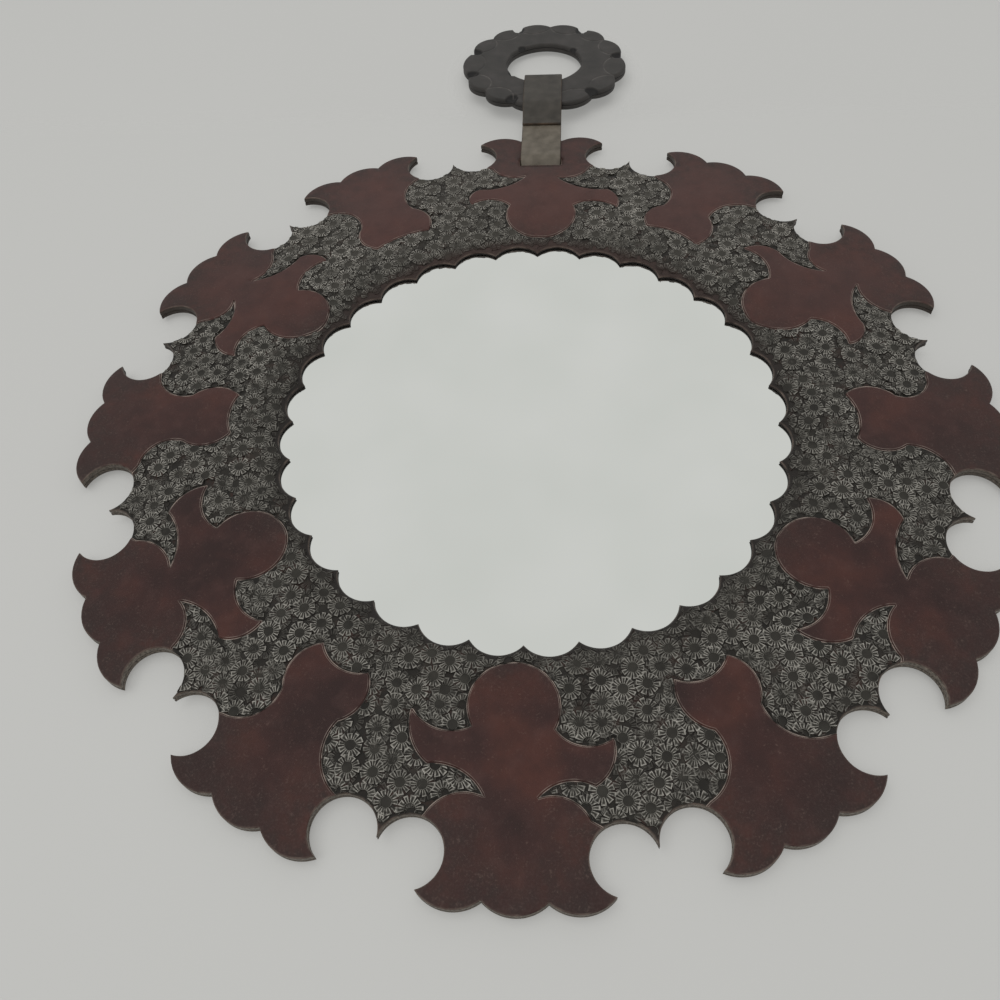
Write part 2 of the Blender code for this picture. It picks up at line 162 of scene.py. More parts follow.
def seenDirectly(tree):
    # 1 for what the camera sees, straight, mirrored or through glass, and 0 for light on its way
    path = addNode(tree, "ShaderNodeLightPath").outputs
    seen = addNode(tree, "ShaderNodeMath", {0: path["Is Camera Ray"], 1: path["Is Glossy Ray"]}, operation="MAXIMUM")
    return addNode(tree, "ShaderNodeMath", {0: seen.outputs[0], 1: path["Is Transmission Ray"]},
                   operation="MAXIMUM").outputs[0]


def openAboveRing(tree):
    # 0 behind the mirror and its ring, 1 above and beside the ring
    where = addNode(tree, "ShaderNodeTexCoord").outputs["Object"]
    height = addNode(tree, "ShaderNodeSeparateXYZ", {0: where}).outputs["Z"]
    away = addNode(tree, "ShaderNodeVectorMath", {0: where, 1: (0.0, stageLook["wallGap"], ringPlace[2])},
                   operation="DISTANCE").outputs["Value"]
    shut, full = (ringPlace[2] - below for below in stageLook["openBelow"])
    above = addNode(tree, "ShaderNodeMapRange", {"Value": height, "From Min": shut, "From Max": full})
    beside = addNode(tree, "ShaderNodeMapRange", {"Value": away, "From Min": stageLook["openFrom"],
                                                  "From Max": stageLook["openFull"]})
    return addNode(tree, "ShaderNodeMath", {0: above.outputs[0], 1: beside.outputs[0]},
                   operation="MULTIPLY").outputs[0]


def stageSurface(name, colour, corners, oneSided, opens=False):
    made, tree, shader = startMaterial(name + "Paint", 0.9)
    coordinate = addNode(tree, "ShaderNodeTexCoord")
    mottle = addNode(tree, "ShaderNodeTexNoise", {"Vector": coordinate.outputs["Object"], "Scale": 1.6})
    tone = setRamp(addNode(tree, "ShaderNodeValToRGB", {"Fac": mottle.outputs["Fac"]}),
                   [(0.3, linear(colour)), (0.8, tuple(c * 1.02 for c in linear(colour)[:3]) + (1.0,))])
    tree.links.new(tone, shader.inputs["Base Color"])
    if oneSided:
        # part of its light is its own, so that shadows on it stay pale; from behind it isn't seen
        glow = addNode(tree, "ShaderNodeEmission", {"Color": tone})
        share = addNode(tree, "ShaderNodeMath", {0: seenDirectly(tree), 1: stageLook["wallGlow"]},
                        operation="MULTIPLY")
        soft = addNode(tree, "ShaderNodeMixShader", {0: share.outputs[0], 1: shader.outputs[0], 2: glow.outputs[0]})
        hidden = addNode(tree, "ShaderNodeNewGeometry").outputs["Backfacing"]
        if opens:
            hidden = addNode(tree, "ShaderNodeMath", {0: hidden, 1: openAboveRing(tree)},
                             operation="MAXIMUM").outputs[0]
        clear = addNode(tree, "ShaderNodeBsdfTransparent")
        mix = addNode(tree, "ShaderNodeMixShader", {0: hidden, 1: soft.outputs[0], 2: clear.outputs[0]})
        tree.links.new(mix.outputs[0], tree.nodes["Material Output"].inputs["Surface"])
    mesh = bpy.data.meshes.new(name)
    mesh.from_pydata(corners, [], [(0, 1, 2, 3)])
    mesh.materials.append(made)
    made = bpy.data.objects.new(name, mesh)
    bpy.context.scene.collection.objects.link(made)
    return made


def makeStage():
    half, drop = stageLook["wallHalf"], -stageLook["floorDrop"]
    top = drop + 2 * half
    for name, opens in (("wall", True), ("farWall", False)):
        gap = stageLook[name + "Gap"]
        wall = stageSurface(name, stageLook[name + "Colour"],
                            [(-half, gap, drop), (half, gap, drop), (half, gap, top), (-half, gap, top)],
                            True, opens)
        wall.visible_shadow = False
        wall.visible_diffuse = False
    stageSurface("floor", stageLook["floorColour"],
                 [(-half, -half, drop), (half, -half, drop), (half, half, drop), (-half, half, drop)], False)
    world = bpy.data.worlds.new("softRoom")
    bpy.context.scene.world = world
    world.use_nodes = True
    tree = world.node_tree
    tree.nodes.clear()
    lit = addNode(tree, "ShaderNodeBackground", {"Color": (1.0, 1.0, 1.0, 1.0), "Strength": stageLook["ambient"]})
    shown = addNode(tree, "ShaderNodeBackground", {"Color": linear(stageLook["worldColour"]), "Strength": 1.0})
    mix = addNode(tree, "ShaderNodeMixShader", {0: seenDirectly(tree), 1: lit.outputs[0], 2: shown.outputs[0]})
    addNode(tree, "ShaderNodeOutputWorld", {"Surface": mix.outputs[0]})
    lamp = bpy.data.lights.new("key", "AREA")
    lamp.energy = stageLook["keyPower"]
    lamp.size = stageLook["keySize"]
    key = bpy.data.objects.new("key", lamp)
    key.location = stageLook["keyPlace"]
    aim = Vector((0.0, 0.0, frameY)) - key.location
    key.rotation_euler = aim.to_track_quat("-Z", "Y").to_euler()
    key.visible_glossy = False
    bpy.context.scene.collection.objects.link(key)
    bpy.context.scene.view_settings.view_transform = "Standard"


# Outlines
def polar(radius, angle):
    return 1j * radius * np.exp(-1j * angle)


def arcPoints(start, end, sagitta, count):
    # from start up to, not including, end; a positive sagitta bulges to the left
    chord = end - start
    half = abs(chord) / 2
    radius = (half * half + sagitta * sagitta) / (2 * sagitta)
    centre = (start + end) / 2 + 1j * chord / abs(chord) * (sagitta - radius)
    sweep = math.copysign(2 * math.atan2(half, abs(radius) - abs(sagitta)), -sagitta)
    return list(centre + (start - centre) * np.exp(1j * sweep * np.arange(count) / count))


def resample(loop, step):
    ends = np.append(loop, loop[0])
    along = np.concatenate(([0.0], np.cumsum(np.abs(np.diff(ends)))))
    places = np.arange(0.0, along[-1], step)
    return np.interp(places, along, ends.real) + 1j * np.interp(places, along, ends.imag)


def inside(points, loop):
    # even-odd test, a few thousand points at a time
    ends = np.roll(loop, -1)
    rise = ends.imag - loop.imag
    slope = (ends.real - loop.real) / np.where(rise == 0, 1e-15, rise)
    found = []
    for block in np.array_split(points, max(1, len(points) // 4000)):
        x, y = block.real[:, None], block.imag[:, None]
        crosses = (loop.imag > y) != (ends.imag > y)
        found.append((crosses & (x < loop.real + (y - loop.imag) * slope)).sum(1) % 2 == 1)
    return np.concatenate(found)


def nearest(points, loops, step):
    # distance from each point to the nearest of the loops
    samples = np.concatenate([resample(loop, step) for loop in loops])
    tree = kdtree.KDTree(len(samples))
    for i, place in enumerate(samples):
        tree.insert((place.real, place.imag, 0.0), i)
    tree.balance()
    return np.array([tree.find((p.real, p.imag, 0.0))[2] for p in points])


def offsetLines(loop, step, shifts):
    # runs of points at given shifts to the right of travel, broken where they would cross the loop
    base = resample(loop, step)
    along = np.roll(base, -1) - np.roll(base, 1)
    normal = -1j * along / np.abs(along)
    runs = []
    for shift in shifts:
        moved = base + normal * shift
        good = nearest(moved, [loop], step / 8) > 0.9 * abs(shift)
        run = []
        for place, kept in zip(moved, good):
            if kept:
                run.append(place)
            elif len(run) > 1:
                runs.append(np.array(run))
                run = []
            else:
                run = []
        if len(run) > 1:
            runs.append(np.array(run))
    return runs


def fillSheet(loops, runs, spacing):
    # triangles inside the first loop and outside the others, through the runs and an even grid
    reach = np.abs(loops[0]).max()
    rows = np.arange(-reach, reach, spacing * 0.866)
    grid = np.concatenate([np.arange(-reach, reach, spacing) + (i % 2) * spacing / 2 + 1j * y
                           for i, y in enumerate(rows)])
    grid = grid[inside(grid, loops[0])]
    for hole in loops[1:]:
        grid = grid[~inside(grid, hole)]
    fixed = list(loops) + list(runs)
    grid = grid[nearest(grid, loops, spacing / 4) > spacing * 0.4]
    if len(runs):
        grid = grid[nearestPoints(grid, np.concatenate(runs)) > spacing * 0.4]
    points, edges = [], []
    for i, run in enumerate(fixed):
        first = len(points)
        points += list(run)
        count = len(run)
        edges += [(first + j, first + j + 1) for j in range(count - 1)]
        if i < len(loops):
            edges.append((first + count - 1, first))
    points += list(grid)
    flat = [Vector((p.real / mm, p.imag / mm)) for p in points]
    found = geometry.delaunay_2d_cdt(flat, edges, [], 0, 1e-5)
    places = np.array([complex(v[0], v[1]) for v in found[0]]) * mm
    tris = np.array(found[2])
    centres = places[tris].mean(1)
    keep = inside(centres, loops[0])
    for hole in loops[1:]:
        keep &= ~inside(centres, hole)
    where = {}
    for out, originals in enumerate(found[3]):
        for original in originals:
            where[original] = out
    rims, first = [], 0
    for loop in loops:
        rims.append([where[first + j] for j in range(len(loop))])
        first += len(loop)
    return places, tris[keep], rims


def nearestPoints(points, samples):
    tree = kdtree.KDTree(len(samples))
    for i, place in enumerate(samples):
        tree.insert((place.real, place.imag, 0.0), i)
    tree.balance()
    return np.array([tree.find((p.real, p.imag, 0.0))[2] for p in points])


def onWall(x, y, z):
    return x, -z, y


def onFrame(x, y, z):
    return onWall(x, y + frameY, z)


def onRing(x, y, z):
    # the ring leans: its top is at the wall, and the strap holds its lower edge out
    cos, sin = math.cos(ringTilt), math.sin(ringTilt)
    return onWall(x, ringPlace[2] + y * cos + z * sin, -ringPlace[1] - y * sin + z * cos)


def makePiece(name, vertices, faces, look, stand):
    mesh = bpy.data.meshes.new(name)
    mesh.from_pydata([stand(*v) for v in vertices], [], faces)
    mesh.materials.append(look)
    mesh.polygons.foreach_set("use_smooth", [True] * len(mesh.polygons))
    made = bpy.data.objects.new(name, mesh)
    bpy.context.scene.collection.objects.link(made)
    return made


def setAttribute(piece, name, values):
    layer = piece.data.attributes.new(name, "FLOAT", "POINT")
    layer.data.foreach_set("value", np.asarray(values, dtype=np.float32))


def leatherSheet(name, loops, runs, spacing, front, back, look, stand, bulge):
    # a closed sheet: a fine front, a coarse back and a slightly rounded cut edge
    places, tris, rims = fillSheet(loops, runs, spacing)
    backPlaces, backTris, backRims = fillSheet(loops, [], spacing * 3)
    edge = nearest(places, loops, 0.1 * mm)
    frontZ = front(places, edge)
    backZ = back(backPlaces)
    vertices = [(p.real, p.imag, z) for p, z in zip(places, frontZ)]
    first = len(vertices)
    vertices += [(p.real, p.imag, z) for p, z in zip(backPlaces, backZ)]
    faces = [tuple(t) for t in tris]
    faces += [tuple(int(i) + first for i in reversed(t)) for t in backTris]
    wall = np.zeros(len(vertices))
    wall[first:] = 2.0
    for i, (loop, rim, backRim) in enumerate(zip(loops, rims, backRims)):
        along = np.roll(loop, -1) - np.roll(loop, 1)
        outward = (1j if i == 0 else -1j) * along / np.abs(along)
        rows = [rim]
        for share in (0.3, 0.7):
            row = []
            for j, place in enumerate(loop):
                high, low = vertices[rim[j]][2], vertices[first + backRim[j]][2]
                moved = place + outward[j] * bulge
                row.append(len(vertices))
                vertices.append((moved.real, moved.imag, high + (low - high) * share))
            rows.append(row)
        rows.append([first + j for j in backRim])
        for upper, lower in zip(rows, rows[1:]):
            for j in range(len(loop)):
                k = (j + 1) % len(loop)
                faces.append((upper[j], upper[k], lower[k], lower[j]))
    wall = np.concatenate((wall, np.ones(len(vertices) - len(wall))))
    piece = makePiece(name, vertices, faces, look, stand)
    fixNormals(piece)
    setAttribute(piece, "wall", wall)
    return piece, places, edge, tris


def fixNormals(piece):
    work = bmesh.new()
    work.from_mesh(piece.data)
    bmesh.ops.recalc_face_normals(work, faces=work.faces)
    work.to_mesh(piece.data)
    work.free()


def padded(values, piece, rest):
    return np.concatenate((values, np.full(len(piece.data.vertices) - len(values), rest)))


# Leather frame
frameShape = {
    "openingR": 126.5 * mm,
    "scallops": 32,
    "scallopRise": 5.5 * mm,
    "petals": 12,
    "petalDegrees": 19.46,
    "lobes": 3,
    "lobeRise": 5.0 * mm,
    "thornSetback": 19.3 * mm,
    "scoopDepth": 20.1 * mm,
    "frontThickness": 2.5 * mm,
    "linerThickness": 2.0 * mm,
    "glue": 0.3 * mm,
    "flatR": 158.0 * mm,
    "rimLift": 2.2 * mm,
    "bendSoftness": 5.0 * mm,
    "relief": 0.6 * mm,
    "cutDepth": 0.30 * mm,
    "cutWidth": 0.28 * mm,
    "edgeRound": 0.55 * mm,
    "bendRun": 9.0 * mm,
    "lipRun": 2.4 * mm,
    "lipDrop": 1.7 * mm,
    "slotSetback": 24.0 * mm,
    "slotHeight": 6.8 * mm,
    "slotWidth": 25.1 * mm,
    "outlineStep": 1.0 * mm,
    "gridStep": 2.6 * mm,
}

# Motifs in mm: sideways from the motif's middle, and in from the crowns of the lobes. Each was cut by
# hand and differs, so each side of each motif has its own corners, left side first.
motifShape = {
    "headTop": 98.0,
    "armTopSag": 5.0,
    "armSideSag": 3.5,
    "hornSag": 4.2,
    "shoulderSag": 4.5,
    "waistSag": 5.2,
    "bellSag": 6.5,
    "pastRim": -20.0,
    "steps": 24,
    # petal: head middle, head radius, then neck, arm tip, arm foot, horn tip and shoulder of each side
    "crosses": {
        0: (1.5, 19.5, ((17.0, 70.5), (39.4, 68.9), (35.8, 54.9), (8.5, 42.0), (29.0, 34.0)),
            ((20.0, 71.0), (45.2, 73.0), (40.1, 55.8), (10.3, 43.2), (30.0, 33.0))),
        2: (-2.0, 20.0, ((19.9, 71.8), (46.5, 69.5), (35.6, 54.0), (10.3, 40.5), (29.0, 37.5)),
            ((15.0, 70.9), (38.5, 64.8), (30.4, 49.0), (5.4, 32.5), (30.4, 30.4))),
        4: (0.9, 18.3, ((11.8, 67.5), (37.1, 71.7), (35.3, 53.6), (6.9, 41.6), (27.1, 29.5)),
            ((15.4, 68.8), (40.7, 72.9), (31.6, 51.2), (7.2, 41.6), (28.6, 31.0))),
        6: (3.6, 19.3, ((14.0, 69.5), (37.4, 66.6), (30.2, 47.6), (7.5, 42.0), (28.4, 34.5)),
            ((19.5, 69.9), (44.8, 77.1), (36.7, 54.8), (13.2, 42.2), (36.0, 35.5))),
        8: (-0.8, 18.5, ((15.4, 69.3), (40.9, 72.6), (38.5, 53.0), (11.8, 42.7), (32.2, 33.1)),
            ((15.2, 69.9), (41.0, 73.3), (36.5, 52.1), (6.7, 43.8), (29.7, 33.5))),
        10: (-2.7, 17.6, ((18.5, 69.9), (43.4, 70.3), (38.0, 51.3), (10.8, 40.5), (30.7, 37.0)),
             ((11.4, 69.4), (38.5, 68.1), (33.5, 51.9), (5.4, 39.6), (28.9, 35.0))),
    },
    # petal: sag of the tail's end, then tail tip, waist and shoulder of each side
    "bells": {
        1: (3.7, ((15.4, 77.5), (16.3, 56.7), (30.7, 35.0)), ((15.4, 78.4), (11.2, 53.1), (29.8, 30.5))),
        3: (3.6, ((14.6, 74.7), (15.0, 50.3), (29.5, 32.8)), ((12.1, 72.9), (15.2, 50.3), (36.0, 31.0))),
        5: (5.4, ((10.8, 77.5), (11.2, 54.3), (28.4, 30.4)), ((14.1, 78.7), (11.4, 53.6), (28.6, 31.0))),
        7: (5.0, ((12.3, 77.8), (13.6, 54.8), (31.6, 30.4)), ((12.7, 78.7), (15.4, 54.3), (30.7, 32.2))),
        9: (2.8, ((10.3, 78.4), (14.5, 54.9), (28.4, 35.0)), ((14.1, 77.9), (15.0, 53.1), (32.5, 31.4))),
        11: (2.6, ((17.7, 77.5), (19.2, 55.8), (29.5, 32.3)), ((13.9, 77.9), (14.5, 54.9), (29.3, 29.6))),
    },
}


def frameOutline():
    shape = frameShape
    lobeAngle = math.radians(shape["petalDegrees"]) / shape["lobes"]
    lobeR = (frameR - shape["lobeRise"]) / math.cos(lobeAngle / 2)
    step = 2 * math.pi / shape["petals"]
    points = []
    for petal in range(shape["petals"]):
        middle = petal * step
        before = polar(frameR - shape["thornSetback"], middle - step / 2)
        after = polar(frameR - shape["thornSetback"], middle + step / 2)
        cusps = [polar(lobeR, middle + (i - shape["lobes"] / 2) * lobeAngle) for i in range(shape["lobes"] + 1)]
        points += arcPoints(before, cusps[0], -shape["scoopDepth"], 40)
        for start, end in zip(cusps, cusps[1:]):
            points += arcPoints(start, end, shape["lobeRise"], 24)
        points += arcPoints(cusps[-1], after, -shape["scoopDepth"], 40)
    return np.array(points)


def openingOutline():
    shape = frameShape
    step = 2 * math.pi / shape["scallops"]
    cuspR = shape["openingR"] - shape["scallopRise"]
    sagitta = shape["openingR"] - cuspR * math.cos(step / 2)
    points = []
    for i in range(shape["scallops"]):
        points += arcPoints(polar(cuspR, i * step), polar(cuspR, (i + 1) * step), sagitta, 20)
    return np.array(points)


def slotOutline():
    shape = frameShape
    half = shape["slotWidth"] / 2
    top = frameR - shape["slotSetback"]
    low = top - shape["slotHeight"]
    corners = [complex(-half, low), complex(-half, top), complex(half, top), complex(half, low)]
    return resample(np.array(corners), 1.13 * mm)


def pastRim(shoulder):
    # from the end of a motif's cut line through the open scoop to beyond the rim
    scoop = polar(frameR - frameShape["thornSetback"], math.pi / frameShape["petals"])
    scoop -= frameShape["scoopDepth"] / 2
    return [shoulder, scoop, complex(scoop.real, frameR - motifShape["pastRim"] * mm)]


def spot(place):
    return complex(place[0] * mm, frameR - place[1] * mm)


def crossHalf(headX, headR, corners):
    # down one side, from the inmost point of the head
    shape, steps = motifShape, motifShape["steps"]
    neck, tip, foot, horn, shoulder = [spot(corner) for corner in corners]
    middle = spot((headX, shape["headTop"] - headR))
    toNeck = neck - middle
    turn = np.linspace(0.0, math.pi - math.atan2(toNeck.real, toNeck.imag), steps)[:-1]
    radius = headR * mm + (abs(toNeck) - headR * mm) * turn / turn[-1]
    half = list(middle + radius * (np.sin(turn) - 1j * np.cos(turn)))
    half += arcPoints(neck, tip, shape["armTopSag"] * mm, steps)
    half += arcPoints(tip, foot, -shape["armSideSag"] * mm, steps // 2)
    half += arcPoints(foot, horn, shape["hornSag"] * mm, steps)
    half += arcPoints(horn, shoulder, -shape["shoulderSag"] * mm, steps)
    return np.array(half + pastRim(shoulder))


def bellHalf(corners):
    # down one side, from the tip of the tail
    shape, steps = motifShape, motifShape["steps"]
    tip, waist, shoulder = [spot(corner) for corner in corners]
    half = arcPoints(tip, waist, -shape["waistSag"] * mm, steps)
    half += arcPoints(waist, shoulder, shape["bellSag"] * mm, steps)
    return np.array(half + pastRim(shoulder))


def motifOutlines():
    outlines = []
    for i in range(frameShape["petals"]):
        if i in motifShape["crosses"]:
            headX, headR, leftCorners, rightCorners = motifShape["crosses"][i]
            right = crossHalf(headX, headR, rightCorners)
            left = -crossHalf(-headX, headR, leftCorners).conjugate()
            loop = np.concatenate((right, left[:0:-1]))
        else:
            sag, leftCorners, rightCorners = motifShape["bells"][i]
            right = bellHalf(rightCorners)
            left = -bellHalf(leftCorners).conjugate()
            end = arcPoints(left[0], right[0], sag * mm, 2 * motifShape["steps"])
            loop = np.concatenate((right, left[:0:-1], end))
        outlines.append(loop * np.exp(-1j * i * 2 * math.pi / frameShape["petals"]))
    return outlines


def dish(places):
    # how far the leather falls towards the wall: flat over the board, then sloping to the rim
    shape = frameShape
    inner = -glassBox[0][1] + shape["glue"]
    slope = (inner - shape["rimLift"]) / (frameR - shape["flatR"])
    soft = shape["bendSoftness"]
    past = (np.abs(places) - shape["flatR"]) / soft
    return inner - slope * soft * np.logaddexp(0.0, past)


def roundOver(edge, run, drop):
    near = np.clip(1 - edge / run, 0.0, 1.0)
    return drop * (1 - np.sqrt(1 - near * near))


def makeFrontPanel(look):
    shape = frameShape
    outer, opening, slot = frameOutline(), openingOutline(), slotOutline()
    motifs = motifOutlines()
    step = shape["outlineStep"]
    rounding = [s * shape["edgeRound"] for s in (0.22, 0.55, 1.0)]
    runs = offsetLines(outer, step, rounding)
    runs += offsetLines(opening, step, [-s * mm for s in (0.12, 0.4, 0.9, 1.6, 2.6, 4.2, 6.5, 9.0)])
    edgeLoops = [outer, opening, slot]
    for motif in motifs:
        for run in [np.append(resample(motif, step), motif[0])] + \
                offsetLines(motif, step, [s * mm for s in (-0.85, -0.5, -0.2, 0.2, 0.5, 0.85, 1.2)]):
            good = inside(run, outer) & ~inside(run, opening) & ~inside(run, slot)
            good &= nearest(run, edgeLoops, step / 4) > 1.1 * shape["edgeRound"]
            good &= np.abs(run) > shape["openingR"]
            part = []
            for place, kept in zip(run, good):
                if kept:
                    part.append(place)
                elif part:
                    if len(part) > 1:
                        runs.append(np.array(part))
                    part = []
            if len(part) > 1:
                runs.append(np.array(part))

    def signedDepth(places):
        depth = nearest(places, motifs, 0.1 * mm)
        within = np.zeros(len(places), dtype=bool)
        for motif in motifs:
            within |= inside(places, motif)
        return np.where(within, depth, -depth)

    kept = {}

    def front(places, edge):
        depth = signedDepth(places)
        kept["depth"] = depth
        rise = np.clip((depth + 0.4 * mm) / (1.0 * mm), 0.0, 1.0)
        rise = rise * rise * (3 - 2 * rise) * shape["relief"]
        cut = shape["cutDepth"] * np.exp(-(depth / shape["cutWidth"]) ** 2)
        # the leather rolls over at the opening, and its other edges are only rubbed round
        lip = lipSpan(places)
        kept["lip"] = lip
        fall = np.where(lip < shape["bendRun"], roundOver(lip, shape["lipRun"], shape["lipDrop"]),
                        roundOver(edge, shape["edgeRound"], shape["edgeRound"]))
        kept["height"] = back(places) + shape["frontThickness"] + rise - cut - fall
        return kept["height"]

    def lipSpan(places):
        # distance from the opening, found only close to it
        span = np.full(len(places), 2 * shape["bendRun"])
        near = np.abs(places) < shape["openingR"] + shape["bendRun"]
        if near.any():
            span[near] = nearest(places[near], [opening], 0.1 * mm)
        return span

    def back(places):
        # behind the opening's edge the leather bends down past the liner, onto the glass
        share = np.clip(1 - lipSpan(places) / shape["bendRun"], 0.0, 1.0)
        behind = (shape["linerThickness"] + shape["glue"]) * (1 - share * share * (3 - 2 * share))
        return dish(places) + behind

    piece, places, edge, tris = leatherSheet("tooledPanel", edgeLoops, runs, shape["gridStep"], front, back,
                                             look, onFrame, 0.12 * mm)
    setAttribute(piece, "motifMm", padded(kept["depth"] / mm, piece, 5.0))
    setAttribute(piece, "edgeMm", padded(edge / mm, piece, 0.0))
    setAttribute(piece, "lipMm", padded(kept["lip"] / mm, piece, 99.0))
    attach(piece, "frame")
    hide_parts("front_panel")
    ground = (kept["depth"][tris].max(1) < -stampShape["margin"]) & (edge[tris].min(1) > stampShape["margin"])
    ground &= kept["lip"][tris].min(1) > stampShape["lipMargin"]
    print("stage: tooled panel,", len(piece.data.polygons), "faces")
    return places, kept["height"], tris[ground]


# Flower stamps: a flat round middle and U-shaped petals, all drawn by raised lines
stampShape = {
    "petals": 10,
    "middleR": 2.35 * mm,
    "petalStart": 2.45 * mm,
    "petalEnd": 4.9 * mm,
    "innerHalf": 0.54 * mm,
    "outerHalf": 1.06 * mm,
    "skirt": 0.20 * mm,
    "crest": 0.26 * mm,
    "density": 400000.0,
    "smallest": 0.94,
    "largest": 1.04,
    "margin": 0.12 * mm,
    "lipMargin": 0.7 * mm,
    # name, spacing, lowest, highest and seed: later stamps are pressed over earlier ones
    "rounds": (("firstStamps", 6.8 * mm, 0.0, 0.10 * mm, 5), ("lastStamps", 8.5 * mm, 0.16 * mm, 0.50 * mm, 8)),
    "petalUneven": 0.16,
}


def flowerMesh():
    # drawn flat: each point carries its rise over the leather and how much its dye is rubbed off
    shape = stampShape
    vertices, faces, crest = [], [], []
    start, end, skirt = shape["petalStart"], shape["petalEnd"], shape["skirt"]
    inner, outer = shape["innerHalf"], shape["outerHalf"]
    ridge = [(start, -inner), (end, -outer), (end, outer), (start, inner)]
    foot = [(start, -inner - skirt), (end + skirt, -outer - 0.6 * skirt),
            (end + skirt, outer + 0.6 * skirt), (start, inner + skirt)]

    def add(u, v, light, angle):
        place = complex(u, v) * np.exp(1j * angle)
        vertices.append((place.real, place.imag, 0.0))
        crest.append(light)
        return len(vertices) - 1

    turns = [2 * math.pi * i / shape["petals"] for i in range(shape["petals"])]
    feet = []
    for i, angle in enumerate(turns):
        # no two petals of the tool are alike
        long, wide = 1 + shape["petalUneven"] * np.array((math.sin(2.3 * i), math.sin(4.1 * i + 1)))
        top = [add(start + (u - start) * long, v * wide, 1.0, angle) for u, v in ridge]
        low = [add(start + (u - start) * long, v * wide, 0.0, angle) for u, v in foot]
        near, far = add(1.05 * start, 0.0, 0.45, angle), add(0.84 * end, 0.0, 0.45, angle)
        for a in range(3):
            faces.append((top[a], low[a], low[a + 1], top[a + 1]))
        faces += [(top[0], top[1], far, near), (top[1], top[2], far), (top[2], top[3], near, far)]
        feet.append(low)
    for low, after in zip(feet, feet[1:] + feet[:1]):
        faces.append((low[3], after[0], after[1], low[2]))
    rings = [[add(shape["middleR"] + shift, 0.0, light, angle) for angle in turns]
             for shift, light in ((skirt, 0.5), (0.0, 1.0), (-skirt, 0.12))]
    for outside, within in zip(rings, rings[1:]):
        for a in range(len(turns)):
            b = (a + 1) % len(turns)
            faces.append((outside[a], outside[b], within[b], within[a]))
    faces.append(tuple(rings[2]))
    mesh = bpy.data.meshes.new("flower")
    mesh.from_pydata(vertices, [], faces)
    layer = mesh.attributes.new("crest", "FLOAT", "POINT")
    layer.data.foreach_set("value", crest)
    return mesh


